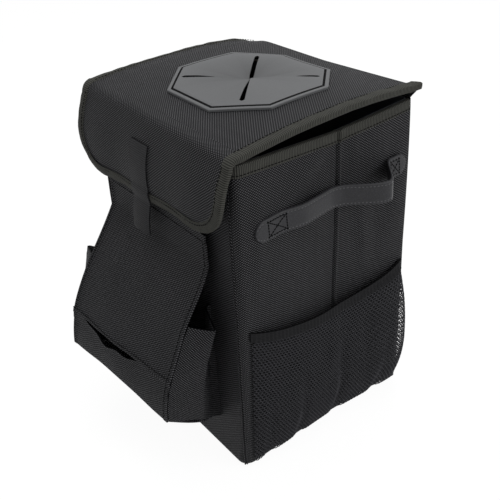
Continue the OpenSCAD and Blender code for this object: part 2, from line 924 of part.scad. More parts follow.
// One rubber moulding: a stitched lip and four petals parted by two crossing slits
module slit_cover() {
  hang = hole_in + ease;
  color(rubber_c)
    difference() {
      union() {
        cover_layer(0, cover_t, 0);
        cover_layer(-petal_dip, 1, hang);
      }
      // The lip outside the groove is lower
      difference() {
        cover_layer(lip_t, cover_t + 1, -1);
        cover_layer(lip_t - 1, cover_t + 2, groove_in);
      }
      difference() {
        cover_layer(cover_t - groove_h, cover_t + 1, groove_in);
        cover_layer(0, cover_t + 2, groove_in + groove_w);
      }
      // The petals hang in a shallow cone and are thinned from below
      petal_cone(0);
      difference() {
        cover_layer(-petal_dip - 1, cover_t, hang - 0.1);
        petal_cone(petal_t);
        cover_layer(cover_t - petal_t, cover_t + 1, hang - 1);
      }
      translate([cover_x, cover_y, lid_under])
        linear_extrude(far)
          for (k = [0:3])
            slit(k);
    }
}

// Flap

// Layer of the arched flap between two depths behind its outer skin
module flap_layer(in0, in1) {
  intersection() {
    along_x(-far / 2, far / 2)
      translate([flap_axis_y, flap_axis_z])
        difference() {
          circle(flap_r - in0, $fn = 240);
          circle(flap_r - in1, $fn = 240);
        }
    translate([-far / 2, flap_axis_y - far, flap_foot_z - tape_t])
      cube([far, far, flap_drop + tape_t]);
  }
}

// Front view of the flap, grown by out: square at the fold, round at the foot
module flap_outline(out) {
  r = flap_corner_r + out;
  half = lid_half_w + out;
  z0 = flap_foot_z - out;
  translate([-half, z0 + r])
    square([2 * half, flap_top_z - z0 - r]);
  translate([r - half, z0])
    square([2 * (half - r), r]);
  for (x = [-1, 1])
    translate([x * (half - r), z0 + r])
      circle(r);
}

module flap_sheet(in0, in1, out) {
  intersection() {
    flap_layer(in0, in1);
    along_y(-far, 0)
      flap_outline(out);
  }
}

module flap_panel() {
  color(cloth_c)
    flap_sheet(0, cloth_t, 0);
}

module flap_lining() {
  color(lining_c)
    flap_sheet(cloth_t, flap_stack, 0);
}

// Tape folded over the flap's edge, humped where it crosses the pull tab
module flap_binding() {
  hump = tab_t + tape_t;
  color(tape_c)
    difference() {
      union() {
        flap_sheet(-tape_t, flap_stack + tape_t, tape_t);
        intersection() {
          flap_sheet(-hump, flap_stack, tape_t);
          translate([tab_x - tab_w / 2 - tape_t, -far, 0])
            cube([tab_w + 2 * tape_t, far, far]);
        }
      }
      flap_sheet(0, flap_stack, 0);
      flap_sheet(-2 * hump, flap_stack + 2 * tape_t, tape_t - tape_w);
      pull_tab_solid(tape_t / 20);
    }
}

// Hooked patch on the back of the flap
module hook_patch() {
  color(plastic_c)
    intersection() {
      flap_layer(flap_stack, flap_stack + patch_t);
      translate([-patch_half, -far, patch_foot])
        cube([2 * patch_half, far, patch_h]);
    }
}

// Webbing sewn to the flap that hangs on below it
module pull_tab_solid(play) {
  intersection() {
    flap_layer(-tab_t - play, 0);
    translate([tab_x - tab_w / 2 - play, -far, flap_foot_z])
      cube([tab_w + 2 * play, far, tab_up]);
  }
  translate([tab_x - tab_w / 2 - play, flap_foot_y - tab_t - play, flap_foot_z - tab_hang])
    cube([tab_w + 2 * play, tab_t + play, tab_hang]);
}

module pull_tab() {
  color(web_c)
    pull_tab_solid(0);
}

front_panel();
back_panel();
side_panel_right();
side_panel_left();
floor_panel();
front_board();
back_board();
floor_board();
waterproof_lining();
rim_binding();
handle_right();
handle_left();
tissue_front_upper();
tissue_front_lower();
tissue_gusset_right();
tissue_gusset_left();
tissue_floor();
loop_patch();
mesh_net_right();
mesh_net_left();
mesh_hem_right();
mesh_hem_left();
rear_strap_fixed();
rear_strap_adjusting();
buckle_socket();
buckle_plug();
strap_slider();
lid_panel();
lid_board();
lid_lining();
lid_binding();
slit_cover();
flap_panel();
flap_lining();
flap_binding();
hook_patch();
pull_tab();
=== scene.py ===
# %% [markdown]
# # A lidded car trash bin, sewn from oxford cloth
#
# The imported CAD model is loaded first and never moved. It gives every piece its place, so
# each soft piece below is made where its plain solid lies and then stands for that solid.
# All sizes are metres, and MM turns a size in millimetres into them.

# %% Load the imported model
import math

import bmesh
import bpy
import numpy as np
from mathutils import Matrix, Vector, noise


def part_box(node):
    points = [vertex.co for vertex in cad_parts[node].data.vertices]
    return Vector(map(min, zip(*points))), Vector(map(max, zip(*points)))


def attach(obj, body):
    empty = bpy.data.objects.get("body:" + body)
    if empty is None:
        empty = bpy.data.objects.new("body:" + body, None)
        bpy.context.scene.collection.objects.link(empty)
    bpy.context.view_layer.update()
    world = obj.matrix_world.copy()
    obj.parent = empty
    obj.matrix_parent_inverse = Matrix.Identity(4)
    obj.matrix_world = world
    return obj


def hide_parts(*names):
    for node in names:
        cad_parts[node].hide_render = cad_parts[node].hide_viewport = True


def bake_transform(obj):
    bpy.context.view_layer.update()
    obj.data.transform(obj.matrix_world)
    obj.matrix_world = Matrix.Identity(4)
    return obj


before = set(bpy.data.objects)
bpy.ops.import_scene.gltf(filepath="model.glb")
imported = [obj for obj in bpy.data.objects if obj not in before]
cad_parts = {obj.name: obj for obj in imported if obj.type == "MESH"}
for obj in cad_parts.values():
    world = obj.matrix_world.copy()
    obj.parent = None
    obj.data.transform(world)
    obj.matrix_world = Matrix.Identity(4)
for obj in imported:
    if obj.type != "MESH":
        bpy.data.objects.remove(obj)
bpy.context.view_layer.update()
MM = 0.001

# %% [markdown]
# ## Camera
#
# The camera was fitted to the box edges and to the octagon on the lid. It stands high over
# the front right corner, with a normal lens. Its directions to the right and forward are
# written out, because a fitted camera is turned a little about its own axis as well.

# %% Camera at the photograph's viewing angle
CAMERA_AT = (0.48394, -0.36314, 0.53577)
CAMERA_RIGHT = Vector((0.61604, 0.78670, -0.03994))
CAMERA_FORWARD = Vector((-0.67465, 0.50077, -0.54228))
FOCAL_PX = 758.4
FRAME_PX = 500
SENSOR = 36.0


def put(name, data):
    """An object that shows the given data, linked to the scene."""
    made = bpy.data.objects.new(name, data)
    bpy.context.scene.collection.objects.link(made)
    return made


camera_data = bpy.data.cameras.new("camera")
camera_data.sensor_width = SENSOR
camera_data.lens = FOCAL_PX * SENSOR / FRAME_PX
camera_data.clip_start = 0.02
camera = put("camera", camera_data)
right = CAMERA_RIGHT.normalized()
forward = (CAMERA_FORWARD - right * CAMERA_FORWARD.dot(right)).normalized()
turn = Matrix((right, right.cross(forward), -forward)).transposed()
camera.matrix_world = Matrix.Translation(CAMERA_AT) @ turn.to_4x4()
bpy.context.scene.camera = camera
print("lens", round(camera_data.lens, 1), "mm")

# %% [markdown]
# ## One helper for nodes, one for colours
#
# Every material and every Geometry Nodes tree below is built with the same small function,
# which adds a node with its settings and links. Colours are written as sRGB hex, as a
# paint chart gives them, and Blender's sockets want them linear.

# %% Helpers for nodes and colours


def add(tree, kind, inputs=None, **settings):
    """Adds one node. Settings are its properties, inputs its sockets: a value, or an output to link."""
    made = tree.nodes.new(kind)
    for name, value in settings.items():
        setattr(made, name, value)
    for name, value in (inputs or {}).items():
        if isinstance(value, bpy.types.NodeSocket):
            tree.links.new(value, made.inputs[name])
        else:
            made.inputs[name].default_value = value
    return made


def srgb(hex_colour):
    """The linear RGBA of an sRGB hex colour."""
    parts = [int(hex_colour[i:i + 2], 16) / 255 for i in (1, 3, 5)]
    return [c / 12.92 if c <= 0.04045 else ((c + 0.055) / 1.055) ** 2.4 for c in parts] + [1.0]


def new_material(name, **surface):
    """A material with only a principled shader, whose plain sockets are set, and its tree and shader."""
    material = bpy.data.materials.new(name)
    material.use_nodes = True
    shader = material.node_tree.nodes["Principled BSDF"]
    for socket, value in surface.items():
        shader.inputs[socket.replace("_", " ")].default_value = value
    return material, material.node_tree, shader


# %% [markdown]
# ## Stage and light
#
# The photograph is a studio shot on white: a broad soft light from above, one from the back
# right that models the strap, a weak one in front, and enough light from the room that the
# dark cloth keeps its weave everywhere. The floor is white to the
# camera and keeps the soft shadow under the bin.

# %% Floor, white surroundings and three soft lamps
WHITE = srgb("#ffffff")
FLOOR_HALF = 3.0
FLOOR_GLOW = 1.05
# The share of the white: the rest keeps the bin's shadow
FLOOR_WHITE = 0.9


def seen_directly(tree):
    """1 for rays from the camera, off gloss and through glass, 0 for all others."""
    path = add(tree, "ShaderNodeLightPath")
    seen = path.outputs["Is Camera Ray"]
    for kind in ("Is Glossy Ray", "Is Transmission Ray"):
        seen = add(tree, "ShaderNodeMath", {0: seen, 1: path.outputs[kind]}, operation="MAXIMUM").outputs[0]
    return seen


def seen_white(material, grey, strength):
    """Mixes plain white into a material for the rays that see it directly."""
    tree = material.node_tree
    share = add(tree, "ShaderNodeMath", {0: seen_directly(tree), 1: strength}, operation="MULTIPLY")
    plain = add(tree, "ShaderNodeBsdfDiffuse", {"Color": grey})
    glow = add(tree, "ShaderNodeEmission", {"Color": WHITE, "Strength": FLOOR_GLOW})
    mixed = add(tree, "ShaderNodeMixShader", {0: share.outputs[0], 1: plain.outputs[0], 2: glow.outputs[0]})
    tree.links.new(mixed.outputs[0], tree.nodes["Material Output"].inputs["Surface"])


floor_mesh = bpy.data.meshes.new("studio_floor")
floor_corners = [(x * FLOOR_HALF, y * FLOOR_HALF, 0) for x, y in ((-1, -1), (1, -1), (1, 1), (-1, 1))]
floor_mesh.from_pydata(floor_corners, [], [(0, 1, 2, 3)])
studio_floor = put("studio_floor", floor_mesh)
floor_paint, _, _ = new_material("white studio floor")
seen_white(floor_paint, srgb("#e8e8e8"), FLOOR_WHITE)
floor_mesh.materials.append(floor_paint)

world = bpy.data.worlds.new("studio")
world.use_nodes = True
bpy.context.scene.world = world
background = world.node_tree.nodes["Background"]
ROOM_LIGHT = 0.5
level = add(world.node_tree, "ShaderNodeMapRange",
            {"Value": seen_directly(world.node_tree), "To Min": ROOM_LIGHT, "To Max": 1.0})
world.node_tree.links.new(level.outputs[0], background.inputs["Strength"])
background.inputs["Color"].default_value = WHITE

# Each lamp: name, where it stands, its size and its power
LAMPS = (
    ("top softbox", (-0.2, 0.1, 1.5), 1.2, 12),
    ("right softbox", (1.35, 0.6, 0.85), 1.0, 10),
    ("front softbox", (-0.3, -1.5, 0.8), 1.0, 0.5),
)
AIM = Vector((0, 0, 0.15))
for lamp_name, stand, size, power in LAMPS:
    lamp_data = bpy.data.lights.new(lamp_name, "AREA")
    lamp_data.size = size
    lamp_data.energy = power
    lamp = put(lamp_name, lamp_data)
    lamp.location = stand
    lamp.rotation_euler = (AIM - Vector(stand)).to_track_quat("-Z", "Y").to_euler()
bpy.context.scene.view_settings.view_transform = "Standard"
print("lamps:", len(LAMPS))

# %% [markdown]
# ## Oxford cloth
#
# The bin is cut from polyester oxford, a plain weave of thick yarns, with a coating on
# the back that stiffens it. The yarn crossings catch the light and the corners between
# them stay dark, and both are painted into the colour: painted highlights on the crowns
# and painted shade between them. The weave is worked out from the piece's own UV map,
# which is in metres of cloth, so the threads run true on every panel and don't slide
# when the lid moves.
# Real 600 denier yarns lie about 0.6 mm apart. They are drawn about twice as coarse,
# which is how the cloth reads in the photograph.

# %% Materials of cloth
WEAVE_PITCH = 1.35 * MM
WEFT_PITCH = 1.1 * MM
# Above 0.5 the light crowns of the yarns get narrower
YARN_CROWN = 0.8
# Weft yarns lie across the light and are painted darker than the warp, as painted shade
WEFT_SHADE = 0.05
# Patches of slightly other shade to a metre, from handling
CLOTH_PATCHES = 22.0
TAPE_PATCHES = 160.0


def yarns(tree, axis, pitch):
    """A sine over the piece's cloth map, with half a wave to a yarn."""
    uv = add(tree, "ShaderNodeUVMap", uv_map="cloth")
    parts = add(tree, "ShaderNodeSeparateXYZ", {0: uv.outputs[0]})
    phase = add(tree, "ShaderNodeMath", {0: parts.outputs[axis], 1: math.pi / pitch}, operation="MULTIPLY")
    return add(tree, "ShaderNodeMath", {0: phase.outputs[0]}, operation="SINE").outputs[0]


def weave_height(tree, pitch_u, pitch_v):
    """Height of a plain weave: warp and weft yarns take turns on top, each one rounded."""
    waves = [yarns(tree, "X", pitch_u), yarns(tree, "Y", pitch_v)]
    product = add(tree, "ShaderNodeMath", {0: waves[0], 1: waves[1]}, operation="MULTIPLY")
    turns = add(tree, "ShaderNodeMath", {0: product.outputs[0], 1: 0.0}, operation="GREATER_THAN")
    warp_up = turns.outputs[0]
    warp, weft = [add(tree, "ShaderNodeMath", {0: w}, operation="ABSOLUTE").outputs[0] for w in waves]
    both = add(tree, "ShaderNodeMath", {0: warp, 1: weft}, operation="MULTIPLY")
    top = add(tree, "ShaderNodeMix", {"Factor": warp_up, "A": warp, "B": weft})
    domes = add(tree, "ShaderNodeMath", {0: both.outputs[0], 1: top.outputs[0]}, operation="MULTIPLY")
    crowns = add(tree, "ShaderNodeMath", {0: domes.outputs[0], 1: YARN_CROWN}, operation="POWER")
    weft_dim = add(tree, "ShaderNodeMapRange", {"Value": warp_up, "To Min": WEFT_SHADE, "To Max": 1.0})
    lit = add(tree, "ShaderNodeMath", {0: crowns.outputs[0], 1: weft_dim.outputs[0]}, operation="MULTIPLY")
    return lit.outputs[0]


def patchy(tree, height, scale, detail, low, high):
    """A height times slow changes of shade between low and high, scale patches to a metre."""
    where = add(tree, "ShaderNodeTexCoord")
    patches = add(tree, "ShaderNodeTexNoise",
                  {"Vector": where.outputs["Object"], "Scale": scale, "Detail": detail})
    shade = add(tree, "ShaderNodeMapRange", {"Value": patches.outputs["Fac"], "To Min": low, "To Max": high})
    return add(tree, "ShaderNodeMath", {0: height, 1: shade.outputs[0]}, operation="MULTIPLY").outputs[0]


def shade_and_raise(tree, shader, dark, light, lit, height, relief, strength=1.0):
    """Colours a shader from dark to light by lit, and raises its surface by height times relief."""
    # A colour mix keeps its two colours in sockets 6 and 7, and gives the colour in output 2
    colour = add(tree, "ShaderNodeMix", {0: lit, 6: srgb(dark), 7: srgb(light)}, data_type="RGBA")
    tree.links.new(colour.outputs[2], shader.inputs["Base Color"])
    bump = add(tree, "ShaderNodeBump", {"Height": height, "Distance": relief, "Strength": strength})
    tree.links.new(bump.outputs[0], shader.inputs["Normal"])


def woven(name, dark, light, pitch_u, pitch_v, relief, **surface):
    """A woven material: painted shade between the yarns, painted highlights on them, with slow changes of
    tone.
    """
    material, tree, shader = new_material(name, **surface)
    height = weave_height(tree, pitch_u, pitch_v)
    lit = patchy(tree, height, CLOTH_PATCHES, 3.0, 0.82, 1.18)
    shade_and_raise(tree, shader, dark, light, lit, height, relief)
    return material


oxford = woven("polyester oxford cloth", "#010102", "#646467", WEAVE_PITCH, WEFT_PITCH, 0.35 * MM,
               Roughness=0.6, Specular_IOR_Level=0.07)
print("weave pitch", WEAVE_PITCH / MM, "by", WEFT_PITCH / MM, "mm")

# %% [markdown]
# ## Ribbed tape, webbing and thread
#
# The edges are bound in grosgrain tape, whose thick weft makes fine ribs straight across
# it. Webbing is woven the same way but coarser. Both look alike here: ribs across a strip,
# drawn from the same UV map, whose first direction runs along the strip. Real ribs lie
# 0.8 to 1 mm apart. They are drawn nearly twice as coarse, to show at this distance.

# %% Materials of tape, webbing, elastic, net and thread
TAPE_RIB = 1.6 * MM
WEBBING_RIB = 1.8 * MM
HEM_RIB = 1.5 * MM


def ribbed(name, dark, light, rib, relief, along="X", **surface):
    """A strip with ribs straight across it, or along it when along is Y."""
    material, tree, shader = new_material(name, **surface)
    # Painted highlights on the ribs' crowns and painted shade between them, from their height
    height = add(tree, "ShaderNodeMath", {0: yarns(tree, along, rib)}, operation="ABSOLUTE").outputs[0]
    lit = patchy(tree, height, TAPE_PATCHES, 2.0, 0.75, 1.2)
    shade_and_raise(tree, shader, dark, light, lit, height, relief)
    return material


tape = ribbed("grosgrain binding tape", "#020202", "#474743", TAPE_RIB, 0.3 * MM, Roughness=0.75,
              Specular_IOR_Level=0.08)
webbing = ribbed("polypropylene webbing", "#040405", "#2b2b2d", WEBBING_RIB, 0.3 * MM, Roughness=0.6,
                 Specular_IOR_Level=0.1)
elastic = ribbed("gathered elastic hem", "#040405", "#1a1a1c", HEM_RIB, 0.25 * MM, along="Y", Roughness=0.65,
                 Specular_IOR_Level=0.1)
net_yarn, _, _ = new_material("knitted polyester net", Base_Color=srgb("#2e2e31"), Roughness=0.65,
                              Specular_IOR_Level=0.15)
thread, _, _ = new_material("bonded nylon thread", Base_Color=srgb("#020203"), Roughness=0.6,
                            Specular_IOR_Level=0.06)
# Rows along the strap's edges catch the light: their thread is painted pale, as a painted highlight
strap_thread_painted_pale, _, _ = new_material("strap thread painted pale", Base_Color=srgb("#58585a"), Roughness=0.5,
                                  Specular_IOR_Level=0.2)
print("materials so far:", len(bpy.data.materials))

# %% [markdown]
# ## Leather-look strap, rubber, lining, board and plastic
#
# These surfaces were pressed or moulded, so each gets a grain from noise at its real size:
# pebbles of just under a millimetre on the strap, a fine matt skin on the rubber and the
# buckle, soft creases in the lining film and flecks of fibre in the board.

# %% Materials with a grain
GRAIN_STRENGTH = 0.6


def grained(name, dark, light, grain, relief, kind="ShaderNodeTexNoise", output="Fac", **surface):
    """A pressed or moulded material: a grain of the given size in metres, in shade and in relief."""
    material, tree, shader = new_material(name, **surface)
    where = add(tree, "ShaderNodeTexCoord")
    pattern = add(tree, kind, {"Vector": where.outputs["Object"], "Scale": 1 / grain}).outputs[output]
    shade_and_raise(tree, shader, dark, light, pattern, pattern, relief, GRAIN_STRENGTH)
    return material


leather = grained("embossed strap leatherette", "#1d1d1f", "#313134", 0.9 * MM, 0.15 * MM,
                  kind="ShaderNodeTexVoronoi", output="Distance", Roughness=0.42, Specular_IOR_Level=0.22)
rubber = grained("moulded soft rubber", "#4c4d4f", "#595a5b", 0.8 * MM, 0.05 * MM, Roughness=0.6,
                 Specular_IOR_Level=0.3)
lining_film = grained("welded lining film", "#33353a", "#45474c", 14 * MM, 1.2 * MM, Roughness=0.32)
board = grained("grey stiffening board", "#6f6a64", "#8d8881", 2.5 * MM, 0.1 * MM, Roughness=0.9)
acetal = grained("moulded black acetal", "#161618", "#202023", 0.5 * MM, 0.03 * MM, Roughness=0.38)
pile = grained("hook-and-loop pile", "#101012", "#2c2c2f", 0.7 * MM, 0.4 * MM, kind="ShaderNodeTexVoronoi",
               output="Distance", Roughness=0.85)
print("materials:", len(bpy.data.materials))

# %% [markdown]
# ## Cloth as rows of points
#
# Each panel is a formula for its outer face. This helper samples it as rows of points,
# gives it its thickness and its hidden face, and closes it all round, so that every sheet
# is one sealed mesh. It also lays the UV map out in metres of cloth and keeps the flat
# size, which a cutter would need.


def place(name, points, faces, uvs, material):
    """A mesh object from points, faces and one UV per face corner, smooth apart from its sharp edges."""
    mesh = bpy.data.meshes.new(name)
    mesh.from_pydata([tuple(p) for p in points], [], faces)
    layer = mesh.uv_layers.new(name="cloth")
    layer.data.foreach_set("uv", np.array([uv for face in uvs for uv in face], np.float32).ravel())
    mesh.materials.append(material)
    build = bmesh.new()
    build.from_mesh(mesh)
    bmesh.ops.recalc_face_normals(build, faces=build.faces)
    build.to_mesh(mesh)
    build.free()
    mesh.shade_smooth()
    mesh.set_sharp_from_angle(angle=math.radians(48))
    return put(name, mesh)


# %% Helper that makes sheets


def face_normals(grid, ring=False):
    """Unit normals of a grid of points, ring being whether each row closes on itself."""
    if ring:
        along = np.roll(grid, -1, axis=1) - np.roll(grid, 1, axis=1)
    else:
        along = np.gradient(grid, axis=1)
    normal = np.cross(along, np.gradient(grid, axis=0))
    return normal / np.maximum(np.linalg.norm(normal, axis=2, keepdims=True), 1e-12)


def cloth(name, outer, thick, material, side=1, ring=False, pole=False, inner=None):
    """A closed sheet. outer is its outer face as rows of points, and side turns its normals round.

    ring closes each row on itself, pole closes the first row to a point.
    """
    outer = np.asarray(outer, float)
    rows, cols = outer.shape[:2]
    if inner is None:
        inner = outer - face_normals(outer, ring) * thick * side
    wrapped = np.concatenate([outer, outer[:, :1]], axis=1) if ring else outer
    across = np.linalg.norm(np.diff(wrapped, axis=1), axis=2)
    down = np.linalg.norm(np.diff(wrapped, axis=0), axis=2)
    u = np.concatenate([np.zeros((rows, 1)), np.cumsum(across, axis=1)], axis=1)
    u -= u[:, -1:] / 2
    v = np.concatenate([np.zeros((1, wrapped.shape[1])), np.cumsum(down, axis=0)], axis=0)
    count = rows * cols
    points = np.concatenate([outer.reshape(-1, 3), inner.reshape(-1, 3)])
    faces, uvs = [], []

    def corner(i, j, layer):
        return layer * count + i * cols + j % cols

    def uv(i, j):
        return (u[i, j], v[i, j])

    spans = range(cols if ring else cols - 1)
    for i in range(rows - 1):
        for j in spans:
            ends = ((i, j), (i, j + 1), (i + 1, j + 1), (i + 1, j))
            for layer in (0, 1):
                loop = ends if layer == 0 else ends[::-1]
                faces.append([corner(a, b, layer) for a, b in loop])
                uvs.append([uv(a, b) for a, b in loop])
    edges = [((rows - 1, j + 1), (rows - 1, j)) for j in spans]
    if not pole:
        edges += [((0, j), (0, j + 1)) for j in spans]
    if not ring:
        edges += [((i + 1, 0), (i, 0)) for i in range(rows - 1)]
        edges += [((i, cols - 1), (i + 1, cols - 1)) for i in range(rows - 1)]
    for a, b in edges:
        faces.append([corner(*a, 0), corner(*a, 1), corner(*b, 1), corner(*b, 0)])
        uvs.append([uv(*a), uv(*a), uv(*b), uv(*b)])
    if pole:
        for layer in (0, 1):
            tip = len(points)
            points = np.concatenate([points, points[layer * count:layer * count + cols].mean(axis=0)[None]])
            for j in spans:
                faces.append([tip, corner(0, j, layer), corner(0, j + 1, layer)])
                uvs.append([(0, v[0, j]), uv(0, j), uv(0, j + 1)])
    return place(name, points, faces, uvs, material)


# %% Helper that makes strips


def strip(name, path, across, out, section, material, closed=False):
    """A strip along path. section is its closed outline as (across, out) pairs.

    It is either one section for all points or one for each.
    """
    path, across, out = (np.asarray(a, float) for a in (path, across, out))
    section = np.asarray(section, float)
    if section.ndim == 2:
        section = np.repeat(section[None], len(path), axis=0)
    rings = path[:, None] + section[:, :, :1] * across[:, None] + section[:, :, 1:] * out[:, None]
    length = np.concatenate([[0], np.cumsum(np.linalg.norm(np.diff(path, axis=0), axis=1))])
    wrapped = np.concatenate([rings, rings[:, :1]], axis=1)
    steps = np.cumsum(np.linalg.norm(np.diff(wrapped, axis=1), axis=2), axis=1)
    round_it = np.concatenate([np.zeros((len(path), 1)), steps], axis=1)
    n, m = rings.shape[:2]
    faces, uvs = [], []
    for i in range(n if closed else n - 1):
        k = (i + 1) % n
        end = length[-1] + np.linalg.norm(path[0] - path[-1]) if k == 0 else length[k]
        for j in range(m):
            faces.append([i * m + j, i * m + (j + 1) % m, k * m + (j + 1) % m, k * m + j])
            uvs.append([(length[i], round_it[i, j]), (length[i], round_it[i, j + 1]),
                        (end, round_it[k, j + 1]), (end, round_it[k, j])])
    if not closed:
        for i in (0, n - 1):
            faces.append([i * m + j for j in range(m)])
            uvs.append([(length[i], round_it[i, j]) for j in range(m)])
    return place(name, rings.reshape(-1, 3), faces, uvs, material)


# %% [markdown]
# ## The box's own sizes
#
# These repeat the driving sizes of the CAD model. Where a node's box gives a size
# directly, it is read from there.

# %% Sizes of the box
HALF_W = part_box("side_panel_right")[1][0]
HALF_D = -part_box("front_panel")[0][1]
CORNER_R = 6 * MM
BOTTOM_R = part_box("front_panel")[0][2]
FLAT_X = HALF_W - CORNER_R
FLAT_Y = HALF_D - CORNER_R
CREASE_IN = 3 * MM
CREASE_Y = 10 * MM
LID_Z = 308 * MM
RIM_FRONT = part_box("front_panel")[1][2]
RIM_CREASE = LID_Z - 12.5 * MM
RIM_BACK = LID_Z - 6.4 * MM
CLOTH_T = 1.4 * MM
TAPE_W = 9.5 * MM
TAPE_T = 0.9 * MM
# The filled bin is a little deeper at its foot than at the rim
LEAN_FROM = 170 * MM
FOOT_FRONT = 5.5 * MM
FOOT_BACK = 9 * MM
BACK_BULGE = 1.5 * MM
# Below this height the upright corners get rounder, by this much at the floor
ROUNDER_BELOW = 45 * MM
ROUNDER_BY = 5 * MM
# The side cloth's slack between its seams, its unevenness, and its swelling beside the back corner
WALL_SLACK = 1.4 * MM
WALL_UNEVEN = 1.6 * MM
REAR_SWELL = 4.5 * MM
SWELL_FROM = 20 * MM
SWELL_OVER = 60 * MM
print("box", round(2 * HALF_W / MM), "x", round(2 * HALF_D / MM), "mm, rim at", round(RIM_FRONT / MM, 1))

# %% Helpers for soft shapes


def rumple(point, size, depth, seed):
    """A smooth unevenness between plus and minus depth, with swellings of about the given size."""
    return depth * noise.noise(Vector(point) / size + Vector((seed * 7.3, seed * 3.1, seed * 5.7)))


def clamp(value, low=0.0, high=1.0):
    """The value, kept between low and high."""
    return max(low, min(high, value))


def smooth(t):
    """A soft step from 0 to 1, level at both ends."""
    return t * t * (3 - 2 * t)


def hump(t):
    """Half a sine wave: 0 at both ends and 1 in the middle."""
    return math.sin(math.pi * t)


# %% How the soft walls depart from a plain box


def corner_r(z):
    """Radius of the upright corners, which get rounder towards the foot."""
    return CORNER_R + ROUNDER_BY * clamp(1 - z / ROUNDER_BELOW) ** 2


def lean(y, z):
    """Depth y, moved out where the front and back walls lean out towards the foot."""
    down = clamp(1 - z / LEAN_FROM) ** 1.2
    bulge = BACK_BULGE * hump(clamp(z / LID_Z)) ** 0.5 * (y / HALF_D) ** 2 if y > 0 else 0.0
    return y + (FOOT_BACK if y > 0 else -FOOT_FRONT) * down * (y / HALF_D) ** 2 + bulge


def from_seam(y):
    """0 at the two seams of a side wall and 1 at its crease."""
    if y < CREASE_Y:
        return (y + FLAT_Y) / (CREASE_Y + FLAT_Y)
    return (FLAT_Y - y) / (FLAT_Y - CREASE_Y)


def side_x(y):
    """Outer face of a side wall at depth y, folded in along its middle crease."""
    return HALF_W - CREASE_IN * max(0, from_seam(y))


def rim_z(y):
    """Height of the top edge of the walls, lowest at the side creases."""
    return float(np.interp(y, [-FLAT_Y, CREASE_Y, FLAT_Y], [RIM_FRONT, RIM_CREASE, RIM_BACK]))


def rear_swell(y, z):
    """How far the side wall swells out beside its back corner."""
    return REAR_SWELL * smooth(clamp((y - SWELL_FROM) / SWELL_OVER)) * hump(clamp(z / LID_Z)) ** 0.5


def wall_x(y, z, side=1):
    """Outer face of a side wall with the slack of the cloth between seams, crease, rim and foot."""
    fade = hump(clamp(from_seam(y))) * hump(clamp(z / LID_Z)) ** 0.7
    uneven = rumple((side, y, z), 45 * MM, WALL_UNEVEN, 1) * math.sqrt(max(0, fade))
    return side_x(y) + WALL_SLACK * fade + uneven + rear_swell(y, z)


# Soft folds in the side cloth: from and to as (y, z), half width and height, all in mm
PULLS = (((-54, 246), (-2, 290), 6, 2.25), ((-34, 236), (4, 280), 6, -1.65), ((38, 226), (42, 160), 5, 1.65),
         ((53, 226), (55, 165), 5, -1.35), ((68, 286), (62, 180), 7, -1.5), ((26, 292), (30, 262), 4, 1.2),
         ((-70, 270), (-74, 170), 6, 1.35))
# The tuck along the crease: the height of its ridge, the ridge's place behind the crease and
# half width, then the depth and half width of the groove before it, all in mm
TUCK_RIDGE = (1.1, 2.4, 1.5)
TUCK_GROOVE = (1.5, 0.9)
# The tuck wanders back by this much towards the rim
TUCK_WANDER = 1.6 * MM


def pulls(y, z):
    """Height of the tuck along the crease and of the soft folds in a side wall."""
    near = (y - CREASE_Y - TUCK_WANDER * clamp((z - 130 * MM) / (110 * MM)) + 0.8 * MM) / MM
    ridge = TUCK_RIDGE[0] * math.exp(-((near - TUCK_RIDGE[1]) / TUCK_RIDGE[2]) ** 2)
    groove = TUCK_GROOVE[0] * math.exp(-(near / TUCK_GROOVE[1]) ** 2)
    # The tuck runs out towards the foot
    height = clamp(z / (60 * MM)) * MM * (ridge - groove)
    for (y0, z0), (y1, z1), width, depth in PULLS:
        py, pz, dy, dz = y / MM - y0, z / MM - z0, y1 - y0, z1 - z0
        t = clamp((py * dy + pz * dz) / (dy * dy + dz * dz))
        away = math.hypot(py - t * dy, pz - t * dz) / width
        height += depth * MM * math.exp(-away * away) * hump(clamp(0.08 + 0.84 * t))
    return height


# %% [markdown]
# ## Walls
#
# Front and side walls are cut flat, sewn to each other just beside the upright corners,
# and hold their shape by the boards behind them. The side walls have no board: they fold
# in along a crease when the empty bin is pressed flat, and the crease never quite leaves
# the cloth. So a wall here is rows of points round the box, from seam to seam, and the
# cloth between the seams swells and dips by a millimetre or two.

# %% Side walls
SIDES = ((1, "right"), (-1, "left"))
CORNER_STEPS = 7
WALL_COLS = 64
WALL_ROWS = 48


def sew_on(piece, body, slot, *nodes):
    """The piece rides on a body and stands for CAD nodes; slot is not used."""
    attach(piece, body)
    if nodes:
        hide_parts(*nodes)


def side_outline():
    """Depths and corner angles round a side wall, from the front seam to the back seam."""
    turns = [90 * k / CORNER_STEPS for k in range(CORNER_STEPS)]
    # The tuck along the crease needs closer points
    by_tuck = np.linspace(CREASE_Y - 3 * MM, CREASE_Y + 6 * MM, 16)
    flat = sorted([*np.linspace(-FLAT_Y, FLAT_Y, WALL_COLS), *by_tuck])
    return [("front", a) for a in turns] + [("flat", y) for y in flat] + [("back", a) for a in turns[::-1]]


def side_point(side, kind, value, z):
    """One point of a side wall's outer face."""
    radius = corner_r(z)
    if kind == "flat":
        y = value * (HALF_D - radius) / FLAT_Y
        return (side * (wall_x(value, z, side) + pulls(value, z)), lean(y, z), z)
    angle = math.radians(value)
    x = HALF_W - radius + radius * math.sin(angle)
    y = HALF_D - radius + radius * math.cos(angle)
    if kind == "back":
        x += rear_swell(FLAT_Y, z) * math.sin(angle)
    return (side * x, lean(-y if kind == "front" else y, z), z)


def side_wall(side, name):
    """A side wall from its foot to the rim, wrapped round both corners."""
    rows = []
    for share in np.linspace(1, 0, WALL_ROWS):
        row = []
        for kind, value in side_outline():
            y = value if kind == "flat" else (-FLAT_Y if kind == "front" else FLAT_Y)
            row.append(side_point(side, kind, value, BOTTOM_R + (rim_z(y) - BOTTOM_R) * share))
        rows.append(row)
    return cloth(name, rows, CLOTH_T, oxford, side=-side)


